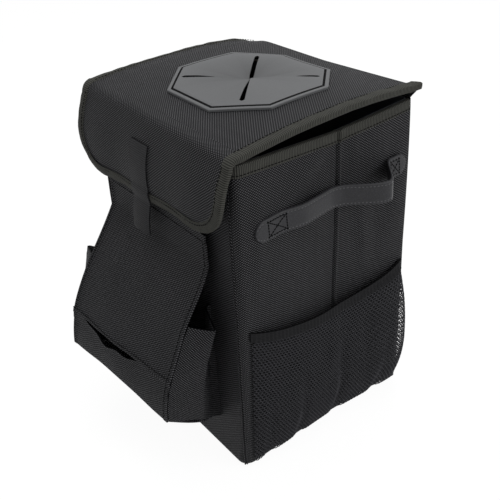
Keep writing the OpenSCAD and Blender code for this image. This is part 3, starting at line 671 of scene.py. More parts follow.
for side, hand in SIDES:
    wall = side_wall(side, f"side_wall_cloth_{hand}")
    sew_on(wall, "bin", "oxford_cloth", f"side_panel_{hand}")

# %% Front wall and floor


def front_y(x, z):
    """Outer face of the front wall, a little slack below the flap."""
    fade = math.cos(math.pi / 2 * clamp(abs(x) / FLAT_X)) * hump(clamp(z / RIM_FRONT))
    return lean(-HALF_D, z) - 0.5 * MM * fade


front_rows = [[(x, front_y(x, z), z) for x in np.linspace(corner_r(z) - HALF_W, HALF_W - corner_r(z), 40)]
              for z in np.linspace(RIM_FRONT, BOTTOM_R, WALL_ROWS)]
front_wall = cloth("front_wall_cloth", front_rows, CLOTH_T, oxford, side=-1)
sew_on(front_wall, "bin", "oxford_cloth", "front_panel")


# Places along the side walls of the box's outline, from the back
FOOTPRINT_Y = (60 * MM, 35 * MM, CREASE_Y, -25 * MM, -58 * MM)


def footprint(inset, corner=CORNER_R, steps=6):
    """Outline of the box seen from above, drawn in by inset, anticlockwise from the right wall."""
    radius = max(corner - inset, 0.6 * MM)
    outline = []
    for sx, sy, start in ((1, 1, 0), (-1, 1, 90), (-1, -1, 180), (1, -1, 270)):
        centre = (sx * (HALF_W - inset - radius), sy * (HALF_D - inset - radius))
        for k in range(steps + 1):
            a = math.radians(start + 90 * k / steps)
            outline.append((centre[0] + radius * math.cos(a), centre[1] + radius * math.sin(a)))
        if sy * sx > 0:
            outline += [(sx * (HALF_W - inset) * t, sy * (HALF_D - inset)) for t in (0.6, 0.2, -0.2, -0.6)]
        else:
            # The right wall is passed from the front to the back
            outline += [(sx * (side_x(y) - inset), y) for y in FOOTPRINT_Y[::-sx]]
    return outline


def floor_rows():
    """Rings of the floor's outer face, from its middle out and up round the bottom edge."""
    rows = []
    for share in (0.12, 0.35, 0.6, 0.85):
        rows.append([(x * share, lean(y * share, 0), 0) for x, y in footprint(BOTTOM_R, corner_r(0))])
    for k in range(6):
        a = math.radians(90 * k / 5)
        inset, z = BOTTOM_R * (1 - math.sin(a)), BOTTOM_R * (1 - math.cos(a))
        rows.append([(x, lean(y, z), z) for x, y in footprint(inset, corner_r(z))])
    return rows


floor_cloth = cloth("floor_cloth", floor_rows(), CLOTH_T, oxford, side=1, ring=True, pole=True)
sew_on(floor_cloth, "bin", "oxford_cloth", "floor_panel")

# %% [markdown]
# ## Corner seams
#
# Beside each upright corner the two walls are sewn right sides together and turned, which
# leaves a pinched ridge with a groove next to it. The ridge runs just in front of the
# corner at the rim and reaches the corner at the foot. It is a narrow strip swept down
# the corner, with two lips and a groove between them.

# %% Pinched ridges along the upright seams
SEAM_STEPS = 40
# At the rim a seam lies this far in front of, or behind, the middle of its corner
SEAM_RUN = 7.5 * MM


def corner_place(side, end, run, z):
    """A point on the outside of an upright corner and its outward direction.

    run is the way from the corner's middle along the front or back wall, in metres.
    """
    radius = corner_r(z)
    arc = radius * math.pi / 4
    if run > arc:
        return (side * (HALF_W - radius - (run - arc)), lean(end * HALF_D, z), z), (0, end, 0)
    angle = math.radians(45) * (1 - run / arc)
    x = side * (HALF_W - radius + radius * math.sin(angle))
    y = end * (HALF_D - radius + radius * math.cos(angle))
    return (x, lean(y, z), z), (side * math.sin(angle), end * math.cos(angle), 0)


# Across and out, in mm: two lips with the groove of the seam between them
SEAM_SECTION = [(-1.7, -0.8), (-1.5, 0.25), (-1.0, 0.75), (-0.45, 0.8), (-0.1, 0.2), (0.1, 0.2), (0.45, 1.25),
                (1.0, 1.45), (1.5, 0.9), (1.8, -0.8)]
seams = []
for side, hand in SIDES:
    for end, face in ((-1, "front"), (1, "back")):
        spots = [corner_place(side, end, SEAM_RUN * share, BOTTOM_R * 0.6 + (RIM_FRONT - BOTTOM_R) * share)
                 for share in np.linspace(0, 1, SEAM_STEPS)]
        points = np.array([s[0] for s in spots])
        outward = np.array([s[1] for s in spots])
        sideways = np.cross(outward, (0, 0, 1.0)) * side * -end
        wave = np.array([rumple(p, 14 * MM, 0.5 * MM, 5) for p in points])
        seam = strip(f"corner_seam_{face}_{hand}", points + sideways * wave[:, None], sideways, outward,
                     np.array(SEAM_SECTION) * MM, oxford)
        sew_on(seam, "bin", "oxford_cloth")
        seams.append(seam)
print("corner seams:", len(seams))

# %% [markdown]
# ## Lining bag
#
# Inside hangs one welded film bag. It is seen only with the lid up. It is a ring of
# points carried from the middle of its floor out to the walls and up to the rim, and its
# upper part is creased a little, as film is.

# %% Waterproof lining
LINING_T = 0.8 * MM
LINING_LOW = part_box("waterproof_lining")[0][2] + LINING_T
LINING_INSET = HALF_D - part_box("waterproof_lining")[1][1] + LINING_T
LINING_BEND = 3 * MM
LINING_SLACK = 0.9 * MM


def lining_rows():
    """Rings of the bag's inner face, from the middle of its floor up to the rim."""
    rows = []
    for share in (0.1, 0.4, 0.7, 0.9):
        rows.append([(x * share, y * share, LINING_LOW) for x, y in footprint(LINING_INSET + LINING_BEND)])
    for k in range(4):
        a = math.radians(90 * k / 3)
        inset = LINING_INSET + LINING_BEND * (1 - math.sin(a))
        rows.append([(x, y, LINING_LOW + LINING_BEND * (1 - math.cos(a))) for x, y in footprint(inset)])
    for share in np.linspace(0.04, 1, 22):
        ring = []
        for x, y in footprint(LINING_INSET):
            z = LINING_LOW + (rim_z(clamp(y, -FLAT_Y, FLAT_Y)) - LINING_LOW) * share
            slack = LINING_SLACK * hump(share) * (1 + noise.noise(Vector((x, y, z)) / (30 * MM)))
            ring.append((x - math.copysign(slack, x) * (abs(x) > HALF_W - 8 * MM),
                         y - math.copysign(slack, y) * (abs(y) > HALF_D - 8 * MM), z))
        rows.append(ring)
    return rows


lining = cloth("lining_bag", lining_rows(), LINING_T, lining_film, side=-1, ring=True, pole=True)
sew_on(lining, "bin", "lining_film", "waterproof_lining")

# %% [markdown]
# ## Binding tape over the rim
#
# Grosgrain tape is folded over the raw edges of wall and lining and sewn through. Its
# section is a narrow U, swept along the rim over the front and both sides.

# %% Rim tape
# How far the sewn tape swells between its edge and its fold
TAPE_BULGE = 0.2 * MM


def folded_tape(width, inside):
    """Section of a tape folded over an edge. across is inward from the edge, out is off the outer face.

    inside is the thickness of what it is folded over.
    """
    t, bulge = TAPE_T, TAPE_BULGE
    front = [(width, 0.15 * MM), (width * 0.9, t * 0.9), (width * 0.5, t + bulge), (0.6 * MM, t + bulge),
             (-t * 0.7, t * 0.4)]
    # The back layer mirrors the front one on the far side of what is bound
    back = [(across, -inside - out) for across, out in front[::-1]]
    hollow = [(width * 0.8, -inside), (0.1 * MM, -inside), (0.1 * MM, 0), (width * 0.8, 0)]
    return front + [(-t, -inside * 0.5)] + back + hollow


def rim_path():
    """Points along the rim's outer edge, from the back left round the front to the back right.

    Their outward directions come with them.
    """
    points, outward = [], []
    for side, order in ((-1, -1), (1, 1)):
        half, ways = [], []
        for kind, value in side_outline():
            if kind == "back":
                continue
            y = value if kind == "flat" else -FLAT_Y
            half.append(side_point(side, kind, value, rim_z(y)))
            angle = math.radians(value) if kind == "front" else math.radians(90)
            ways.append((side * math.sin(angle), -math.cos(angle) if kind == "front" else 0, 0))
        front = [(side * x, front_y(x, RIM_FRONT), RIM_FRONT)
                 for x in np.linspace(4 * MM, FLAT_X - 4 * MM, 14)]
        half = front + half
        ways = [(0, -1, 0)] * len(front) + ways
        points += half[::order]
        outward += ways[::order]
    return np.array(points), np.array(outward, float)


rim_points, rim_out = rim_path()
rim_stack = CLOTH_T + LINING_T + 0.3 * MM
rim_tape = strip("rim_tape", rim_points, np.tile((0, 0, -1.0), (len(rim_points), 1)), rim_out,
                 folded_tape(TAPE_W, rim_stack), tape)
sew_on(rim_tape, "bin", "binding_tape", "rim_binding")
print("rim tape length:", round(float(np.linalg.norm(np.diff(rim_points, axis=0), axis=1).sum()) / MM), "mm")

# %% [markdown]
# ## One cloth for back wall, lid and flap
#
# On the real bin a single length of cloth runs up the back, forward as the lid, and over
# the front edge as the flap. Its line seen from the side is worked out once: the back
# wall, a tight fold, the arched lid, a soft fold, and the bowed flap. Every piece on it
# (cloth, lining, tape, tab, stitches) is then placed by how far along that line it lies.

# %% Sizes and curves of lid and flap
LID_FRONT_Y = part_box("lid_panel")[0][1]
LID_RISE = 7 * MM
LID_HALF_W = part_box("lid_panel")[1][0]
LID_SPAN = HALF_D - LID_FRONT_Y
LID_MID_Y = (HALF_D + LID_FRONT_Y) / 2
LID_R = (LID_SPAN ** 2 / 4 + LID_RISE ** 2) / (2 * LID_RISE)
LID_AXIS_Z = LID_Z + LID_RISE - LID_R
LID_STACK = 4 * MM
FLAP_STACK = 2.4 * MM
FLAP_TOP_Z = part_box("flap_panel")[1][2]
FLAP_DROP = 65 * MM
FLAP_FLARE = 9 * MM
FLAP_BOW = 6 * MM
FLAP_CORNER = 38 * MM
FLAP_FOOT_Z = FLAP_TOP_Z - FLAP_DROP
FLAP_FOOT_Y = LID_FRONT_Y - FLAP_FLARE
FLAP_CHORD = math.hypot(FLAP_DROP, FLAP_FLARE)
FLAP_R = (FLAP_CHORD ** 2 / 4 + FLAP_BOW ** 2) / (2 * FLAP_BOW)
FLAP_AXIS = ((LID_FRONT_Y + FLAP_FOOT_Y) / 2 + (FLAP_R - FLAP_BOW) * FLAP_DROP / FLAP_CHORD,
             (FLAP_TOP_Z + FLAP_FOOT_Z) / 2 - (FLAP_R - FLAP_BOW) * FLAP_FLARE / FLAP_CHORD)


def lid_z(y):
    """Height of the lid's top skin at depth y."""
    return LID_AXIS_Z + math.sqrt(LID_R ** 2 - (y - LID_MID_Y) ** 2)


# How far the used lid's corners have bent, in mm: right back up, left back down, and its left edge
LID_CORNER_UP = 5.4
LID_CORNER_SPRING = 1.2
LID_CORNER_DOWN = 5.0
LID_EDGE_DOWN = 2.5


def lid_warp(x, y):
    """How far the used lid has bent up at its right back corner and down along its left edge."""
    s, u = clamp((HALF_D - y) / LID_SPAN), x / LID_HALF_W
    corner = (LID_CORNER_UP * max(0, u) - LID_CORNER_SPRING * max(0, -u)) * (1 - s) ** 2
    corner -= LID_CORNER_DOWN * math.exp(-((u + 1) / 0.13) ** 2 - (s / 0.09) ** 2)
    return MM * (corner - LID_EDGE_DOWN * clamp((-u - 0.8) / 0.2) ** 1.5 * hump(s) ** 0.7)


def flap_y(z):
    """Depth of the flap's outer skin at height z."""
    return FLAP_AXIS[0] - math.sqrt(FLAP_R ** 2 - (z - FLAP_AXIS[1]) ** 2)


# %% The line of the cloth from the foot of the back wall to the foot of the flap


def rounded_turn(start, knee, end, steps):
    """Points of a soft fold from start to end that never quite reaches its knee."""
    points = []
    for k in range(1, steps):
        t = k / steps
        points.append(tuple((1 - t) ** 2 * a + 2 * t * (1 - t) * b + t * t * c
                            for a, b, c in zip(start, knee, end)))
    return points


BACK_FOLD = 3.5 * MM
FRONT_FOLD = 7.5 * MM
back_end = (HALF_D, LID_Z - BACK_FOLD)
lid_start = (HALF_D - BACK_FOLD, lid_z(HALF_D - BACK_FOLD))
lid_end = (LID_FRONT_Y + FRONT_FOLD, lid_z(LID_FRONT_Y + FRONT_FOLD))
flap_start = (flap_y(FLAP_TOP_Z - FRONT_FOLD * 0.5), FLAP_TOP_Z - FRONT_FOLD * 0.5)
spine = [(HALF_D, z) for z in np.linspace(BOTTOM_R, back_end[1], 60)]
spine += rounded_turn(back_end, (HALF_D, LID_Z + 0.6 * MM), lid_start, 6)
back_done = len(spine)
spine += [(y, lid_z(y)) for y in np.linspace(lid_start[0], lid_end[0], 70)]
front_from = len(spine) - 1
spine += rounded_turn(lid_end, (LID_FRONT_Y - 1.2 * MM, LID_Z + 0.2 * MM), flap_start, 10)
spine += [(flap_y(z), z) for z in np.linspace(flap_start[1], FLAP_FOOT_Z, 40)]
spine = np.array(spine)
spine_length = np.concatenate([[0], np.cumsum(np.linalg.norm(np.diff(spine, axis=0), axis=1))])
LID_FROM = spine_length[back_done]
FOLD_FROM = spine_length[front_from]
CLOTH_END = spine_length[-1]
FLAP_FROM = FOLD_FROM - 4 * MM
print("cloth runs", round(CLOTH_END / MM), "mm, lid from", round(LID_FROM / MM), "flap from",
      round(FLAP_FROM / MM))

# %% Places on the outer skin of the cloth


def spine_at(d):
    """Depth and height of the cloth's line at a distance along it."""
    return (float(np.interp(d, spine_length, spine[:, 0])), float(np.interp(d, spine_length, spine[:, 1])))


# How the flap hangs at its foot: a little up, lower on the left, forward at its left corner,
# and waved
FLAP_UP = 1.3 * MM
FLAP_SKEW = 4.0 * MM
FLAP_LEFT_OUT = 3.2 * MM
FLAP_WAVE = 0.9 * MM


def skin(x, d, out=0.0):
    """A point of the cloth's outer skin at x and distance d, moved out from it by out."""
    y, z = spine_at(d)
    y1, z1 = spine_at(min(d + 0.5 * MM, CLOTH_END))
    y0, z0 = spine_at(max(d - 0.5 * MM, 0))
    length = math.hypot(y1 - y0, z1 - z0)
    ny, nz = (z1 - z0) / length, -(y1 - y0) / length
    y, z = y + ny * out, z + nz * out
    u = x / LID_HALF_W
    if d < LID_FROM:
        z += lid_warp(x, HALF_D) * clamp(1 - (LID_Z - z) / (40 * MM)) ** 2
        y = lean(y, z)
    if d > FOLD_FROM:
        down = (d - FOLD_FROM) / (CLOTH_END - FOLD_FROM)
        z += down * (FLAP_UP + FLAP_SKEW * u)
        y -= down * down * FLAP_LEFT_OUT * max(0, -u) ** 2
        y -= FLAP_WAVE * down * math.sin(3.1 * math.pi * (u + 0.2))
    elif d >= LID_FROM:
        share = (d - LID_FROM) / (FOLD_FROM - LID_FROM)
        z += rumple((x, y, 0), 70 * MM, 1.2 * MM, 3) * hump(share) + lid_warp(x, y)
    return (x, y, z)


def cloth_half(d):
    """Half the width of the cloth at a distance along it."""
    y, z = spine_at(d)
    if d < LID_FROM:
        widen = clamp((z - (LID_Z - 14 * MM)) / (12 * MM))
        narrow = HALF_W - corner_r(z)
        return narrow + (LID_HALF_W - narrow) * smooth(widen)
    low = z - FLAP_FOOT_Z
    if d > FOLD_FROM and low < FLAP_CORNER:
        return LID_HALF_W - FLAP_CORNER + math.sqrt(max(0, FLAP_CORNER ** 2 - (FLAP_CORNER - low) ** 2))
    return LID_HALF_W


# %% [markdown]
# ## Lid and back wall
#
# The cloth that crosses the lid's fold is one mesh here too. It runs over the fold between
# the bin and the lid. The hole under the slit cover is cut out of the finished sheet.

# %% The octagonal hole in the lid
cover_low, cover_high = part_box("slit_cover")
COVER_X = (cover_low[0] + cover_high[0]) / 2
COVER_Y = (cover_low[1] + cover_high[1]) / 2
COVER_W = cover_high[0] - cover_low[0]
COVER_SIDE = 58 * MM
HOLE_IN = 8 * MM


def octagon(inset):
    """Plan outline of the cover, drawn in by inset on all eight sides."""
    h = COVER_W / 2 - inset
    s = COVER_SIDE / 2 - inset * (math.sqrt(2) - 1)
    return [(COVER_X + x, COVER_Y + y)
            for x, y in ((h, -s), (h, s), (s, h), (-s, h), (-h, s), (-h, -s), (-s, -h), (s, -h))]


def cut_hole(sheet):
    """Cuts the lid's octagonal hole out of a finished sheet."""
    outline = octagon(HOLE_IN)
    count = len(outline)
    low, high = LID_Z - 30 * MM, LID_Z + 40 * MM
    faces = [list(range(count))[::-1], list(range(count, 2 * count))]
    faces += [[k, (k + 1) % count, count + (k + 1) % count, count + k] for k in range(count)]
    mesh = bpy.data.meshes.new("hole_cutter")
    mesh.from_pydata([(x, y, z) for z in (low, high) for x, y in outline], [], faces)
    cutter = put("hole_cutter", mesh)
    cut = sheet.modifiers.new("hole", "BOOLEAN")
    cut.object = cutter
    cut.operation = "DIFFERENCE"
    cut.solver = "EXACT"
    return settle(sheet, [cutter])


def settle(thing, spares=()):
    """Turns an object's modifiers into plain mesh and deletes its spare helpers."""
    bpy.context.view_layer.update()
    evaluated = thing.evaluated_get(bpy.context.evaluated_depsgraph_get())
    mesh = bpy.data.meshes.new_from_object(evaluated, preserve_all_data_layers=True,
                                           depsgraph=bpy.context.evaluated_depsgraph_get())
    thing.modifiers.clear()
    old = thing.data
    thing.data = mesh
    mesh.name = thing.name
    bpy.data.meshes.remove(old)
    for spare in spares:
        data = spare.data
        bpy.data.objects.remove(spare)
        bpy.data.meshes.remove(data)
    return thing


# %% Lid and back wall in one cloth


def cloth_rows(start, end, rows, cols):
    """Rows of points across the cloth between two distances along it, closer together where it folds."""
    stops = sorted([start, end] + [d for d in spine_length if start < d < end])
    places = np.interp(np.linspace(0, 1, rows), np.linspace(0, 1, len(stops)), stops)
    return [[skin(u * cloth_half(d), d) for u in np.linspace(-1, 1, cols)] for d in places]


lid_cloth = cloth("lid_and_back_cloth", cloth_rows(0, FLAP_FROM, 150, 60), CLOTH_T, oxford, side=-1)
cut_hole(lid_cloth)
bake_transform(lid_cloth)
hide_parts("lid_panel", "back_panel")

# %% Lining and board of the lid
# The lining under the lid runs on into the front fold
UNDER_PAST = 6 * MM
lining_rows_under = [[skin(x, d, -(LID_STACK - LINING_T)) for x in np.linspace(-LID_HALF_W, LID_HALF_W, 40)]
                     for d in np.linspace(LID_FROM + 0.3 * MM, FOLD_FROM + UNDER_PAST, 50)]
under_lid = cloth("lid_lining_film", lining_rows_under, LINING_T, lining_film, side=-1)
cut_hole(under_lid)
sew_on(under_lid, "lid", "lining_film", "lid_lining")

# The board in the lid bends with it
BOARD_IN = 12 * MM
board_rows = [[skin(x, d, -CLOTH_T) for x in np.linspace(BOARD_IN - LID_HALF_W, LID_HALF_W - BOARD_IN, 40)]
              for d in np.linspace(LID_FROM + BOARD_IN, FOLD_FROM, 50)]
lid_board = cloth("lid_stiffening_board", board_rows, 1.8 * MM, board, side=-1)
cut_hole(lid_board)
sew_on(lid_board, "lid", "stiff_board", "lid_board")

# %% [markdown]
# ## Flap
#
# The flap is the end of the same cloth, with rounded lower corners. It starts a little way
# up the lid, where the surface is smooth, so the two meshes meet without a visible step,
# and it follows the soft front fold between lid and flap.

# %% Flap cloth and flap lining
# The lining starts this far down the front fold, and lies just inside the cloth's edge
FLAP_LINING_FROM = 8 * MM
FLAP_LINING_IN = 0.2 * MM
flap_cloth = cloth("flap_cloth", cloth_rows(FLAP_FROM, CLOTH_END, 46, 60), CLOTH_T, oxford, side=-1)
# Its weave goes on where the lid's stops
for loop in flap_cloth.data.uv_layers["cloth"].data:
    loop.uv = (loop.uv[0], loop.uv[1] + FLAP_FROM)
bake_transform(flap_cloth)
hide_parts("flap_panel")

lining_d = np.linspace(FOLD_FROM + FLAP_LINING_FROM, CLOTH_END, 30)
flap_lining_rows = [[skin(u * (cloth_half(d) - FLAP_LINING_IN), d, -CLOTH_T) for u in np.linspace(-1, 1, 50)]
                    for d in lining_d]
flap_lining = cloth("flap_lining_film", flap_lining_rows, FLAP_STACK - CLOTH_T, lining_film, side=-1)
sew_on(flap_lining, "flap", "lining_film", "flap_lining")

# %% [markdown]
# ## Binding round lid and flap
#
# One tape is folded over both side edges of the lid and on round the flap. It is made as
# three meshes that meet end to end: one along each side of the lid, and one round the
# flap that follows the fold with the cloth. At the back the right-hand tape ends in a
# loose tip beside the lid's corner, cut slanting.

# %% Directions along an edge, and crinkled tape


def edge_frames(edge):
    """Points along an edge given as (x, d, inward) with the surface's own directions there."""
    points, across, out = [], [], []
    for x, d, inward in edge:
        here = np.array(skin(x, d))
        normal = np.array(skin(x, d, 1 * MM)) - here
        normal /= np.linalg.norm(normal)
        beside = np.array(skin(x + inward[0] * MM, d + inward[1] * MM)) - here
        beside -= normal * beside.dot(normal)
        points.append(here)
        across.append(beside / np.linalg.norm(beside))
        out.append(normal)
    return np.array(points), np.array(across), np.array(out)


def crinkled(section, points, seed):
    """The section repeated for each point, its outer layer rising and falling a little."""
    base = np.array(section)
    rings = np.repeat(base[None], len(points), axis=0)
    for k, p in enumerate(points):
        rings[k, 1:5, 1] += rumple(p, 9 * MM, 0.55 * MM, seed)
        rings[k, :, 0] += rumple(p, 16 * MM, 0.5 * MM, seed + 1)
    return rings


# %% Tape along the lid's sides
TAPE_FOLDED = TAPE_W * 0.9
TAPE_END = 5 * MM
SLANT_FROM = HALF_D - 7 * MM
END_STEPS = 7
for side, hand, past in ((1, "right", TAPE_END), (-1, "left", 0.4 * MM)):
    edge = [(side * LID_HALF_W, d, (-side, 0)) for d in np.linspace(LID_FROM, FLAP_FROM, 110)]
    points, across, out = edge_frames(edge)
    # The right end runs straight on over the back fold, the left one stops there
    beyond = np.linspace(HALF_D + past - points[0][1], 0.5 * MM, END_STEPS)[:, None] * np.array((0, 1, 0))
    points = np.concatenate([points[0] + beyond, points])
    across = np.concatenate([np.repeat(across[:1], END_STEPS, axis=0), across])
    out = np.concatenate([np.repeat(out[:1], END_STEPS, axis=0), out])
    lid_tape = strip(f"lid_tape_{hand}", points, across, out,
                     crinkled(folded_tape(TAPE_FOLDED, LID_STACK), points, 11 + side), tape)
    # Its cut end slants forward towards its lower and its inner edge
    for vertex in lid_tape.data.vertices:
        x, y, z = vertex.co
        if y > SLANT_FROM:
            low = clamp((LID_Z + 0.5 * MM - z) / (LID_STACK + TAPE_T))
            inner = clamp((LID_HALF_W + TAPE_T - abs(x)) / TAPE_W)
            full = HALF_D + past - SLANT_FROM
            vertex.co.y = SLANT_FROM + (y - SLANT_FROM) / full * (full * (1 - low) - past * inner * (1 - low))
    sew_on(lid_tape, "lid", "binding_tape")
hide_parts("lid_binding")

# %% Tape round the flap


def flap_edge():
    """The flap's edge from the lid down one side, along its foot and up the other side."""
    side_edge = [(LID_HALF_W, d, (-1, 0)) for d in np.linspace(FLAP_FROM, CLOTH_END - FLAP_CORNER, 34)]
    corner = []
    for k in range(1, 13):
        a = math.radians(90 * k / 12)
        corner.append((LID_HALF_W - FLAP_CORNER + FLAP_CORNER * math.cos(a),
                       CLOTH_END - FLAP_CORNER + FLAP_CORNER * math.sin(a), (-math.cos(a), -math.sin(a))))
    foot = [(x, CLOTH_END, (0, -1)) for x in np.linspace(LID_HALF_W - FLAP_CORNER, 0, 26)[1:]]
    half = side_edge + corner + foot
    return half + [(-x, d, (-inward[0], inward[1])) for x, d, inward in half[-2::-1]]


flap_points, flap_across, flap_out = edge_frames(flap_edge())
# The tape hugs the thick lid stack at its ends and the thin flap further on
inside = np.interp(np.arange(len(flap_points)), [0, 12, len(flap_points) - 13, len(flap_points) - 1],
                   [LID_STACK, FLAP_STACK, FLAP_STACK, LID_STACK])
flap_rings = np.array([folded_tape(TAPE_FOLDED, s) for s in inside])
even = folded_tape(TAPE_FOLDED, FLAP_STACK)
wobble = crinkled(even, flap_points, 17) - np.array(even)
flap_tape = strip("flap_tape", flap_points, flap_across, flap_out, flap_rings + wobble, tape)
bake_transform(flap_tape)
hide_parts("flap_binding")
print("tape round the flap:", len(flap_points), "rings")

# %% [markdown]
# ## Pull tab
#
# A strip of webbing is sewn flat down the middle of the flap and hangs on below it as a
# tab to pull. It follows the flap, steps over the tape and then hangs straight.

# %% Pull tab
tab_low, tab_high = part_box("pull_tab")
TAB_X = (tab_low[0] + tab_high[0]) / 2
TAB_W = tab_high[0] - tab_low[0]
TAB_T = 1.3 * MM
TAB_TOP = CLOTH_END - 50 * MM
TAB_HANG = 28 * MM
# The hanging end stands forward at its foot, and is cupped and curled a little
TAB_FORWARD = 4.5 * MM
TAB_CUP = 0.8 * MM
TAB_CURL = 0.8 * MM
TAB_COLS = np.linspace(-1, 1, 12)


def tab_rows():
    """Rows of points down the tab: on the flap, over the tape, then hanging."""
    rows = []
    for d in np.linspace(TAB_TOP, CLOTH_END, 34):
        over = clamp((d - (CLOTH_END - TAPE_W - 3 * MM)) / (4 * MM))
        out = TAB_T + over * (TAPE_T + 0.6 * MM)
        rows.append([skin(TAB_X + u * TAB_W / 2, d, out) for u in TAB_COLS])
    last = rows[-1]
    for down in np.linspace(2 * MM, TAB_HANG, 14):
        share = down / TAB_HANG
        forward = TAB_FORWARD * share + TAB_CURL * hump(share)
        rows.append([(x, y - forward + TAB_CUP * share * u * u, z - down)
                     for (x, y, z), u in zip(last, TAB_COLS)])
    return rows


def turn_ribs(piece):
    """Swaps the two directions of a strip's cloth map, so that its ribs run across it."""
    for loop in piece.data.uv_layers["cloth"].data:
        loop.uv = (loop.uv[1], loop.uv[0])


pull_tab = cloth("pull_tab_webbing", tab_rows(), TAB_T, webbing, side=-1)
turn_ribs(pull_tab)
sew_on(pull_tab, "flap", "webbing", "pull_tab")

# %% [markdown]
# ## Slit cover
#
# The opening in the lid is covered by one octagonal moulding of soft rubber. A groove runs
# round it for the thread that holds it down, and two slits cross in its middle, so that
# rubbish is pushed in between four petals. The petals have taken a set: their tips no
# longer meet in one plane, and the slits gape unevenly. Each petal is a fan of points
# from the rim to its tip. The four fans share their points beyond the slits' ends, so the
# moulding is one sealed skin.

# %% Sizes of the slit cover
COVER_FOOT = 0.2 * MM
COVER_T = 2.8 * MM
LIP_T = 2.2 * MM
GROOVE_AT = 3.9 * MM
GROOVE_FLOOR = 0.9 * MM
PETAL_T = 1.1 * MM
# Insets from the octagon's side and heights over the lid, from the foot of the lip to the petals
COVER_RINGS = [(0, COVER_FOOT), (0, LIP_T - 0.5 * MM), (0.4 * MM, LIP_T - 0.1 * MM), (1.2 * MM, LIP_T),
               (GROOVE_AT - 1.0 * MM, LIP_T), (GROOVE_AT - 0.8 * MM, GROOVE_FLOOR),
               (GROOVE_AT + 0.8 * MM, GROOVE_FLOOR), (GROOVE_AT + 1.0 * MM, COVER_T - 0.2 * MM),
               (GROOVE_AT + 1.5 * MM, COVER_T)]
# The rings between which the groove's walls and floor lie
GROOVE_RINGS = (4, 5, 6)
# The petals' skins stop just short of the middle
PETAL_REACH = 0.994
# Each slit, anticlockwise from the right rear one: its reach, its half width at the blunt end,
# and the shares of its reach between which it widens to that
SLITS = ((57.4 * MM, 1.8 * MM, 0.58, 0.8), (53.3 * MM, 1.8 * MM, 0.02, 0.2),
         (57.5 * MM, 1.9 * MM, 0.35, 0.75), (52.9 * MM, 1.9 * MM, 0.0, 0.95))
# How far the tip of each petal sags, from the right petal anticlockwise
TIP_SAG = (2.2 * MM, 5.6 * MM, 5.8 * MM, 3.2 * MM)
# Painted shade: how much darker each one is drawn at its tip, where it sags
TIP_SHADE = (0.12, 0.55, 0.6, 0.35)
# How far the petals curl between rim and tip, and half the gap of a slit where it starts
PETAL_CURL = 0.6 * MM
SLIT_LEAST = 0.12 * MM
# Angle between a side's middle and the octagon's corner next to it
CORNER_ANGLE = math.atan2(COVER_SIDE / 2, COVER_W / 2)
print("slit cover:", round(COVER_W / MM), "mm over its main flats")

# %% Places on the slit cover


def cover_reach(angle, inset):
    """Distance from the cover's middle to its octagon, drawn in by inset, in a direction."""
    flats = (COVER_W / 2, (COVER_W + COVER_SIDE) / 2 / math.sqrt(2))
    ways = [(flats[k % 2] - inset, math.cos(angle - k * math.pi / 4)) for k in range(8)]
    return min(flat / way for flat, way in ways if way > 0.1)


def cover_point(spot, height):
    """A point over the lid, spot being its place from the cover's middle."""
    x, y = COVER_X + spot[0], COVER_Y + spot[1]
    return (x, y, lid_z(y) + lid_warp(x, y) + height)


def slit_gap(k, reach):
    """Half the width of slit k at a distance from the middle."""
    full, gape, start, end = SLITS[k]
    return gape * clamp((reach / full - start) / (end - start)) ** 0.7 + SLIT_LEAST


def petal_height(k, share, swing):
    """Height of petal k over the lid: share is 0 at the rim and 1 at the tip, swing is -1 to 1 across."""
    sag = TIP_SAG[k] * share ** 1.7
    curl = PETAL_CURL * swing * swing * hump(share)
    return COVER_T - sag + curl


# %% The slit cover's mesh


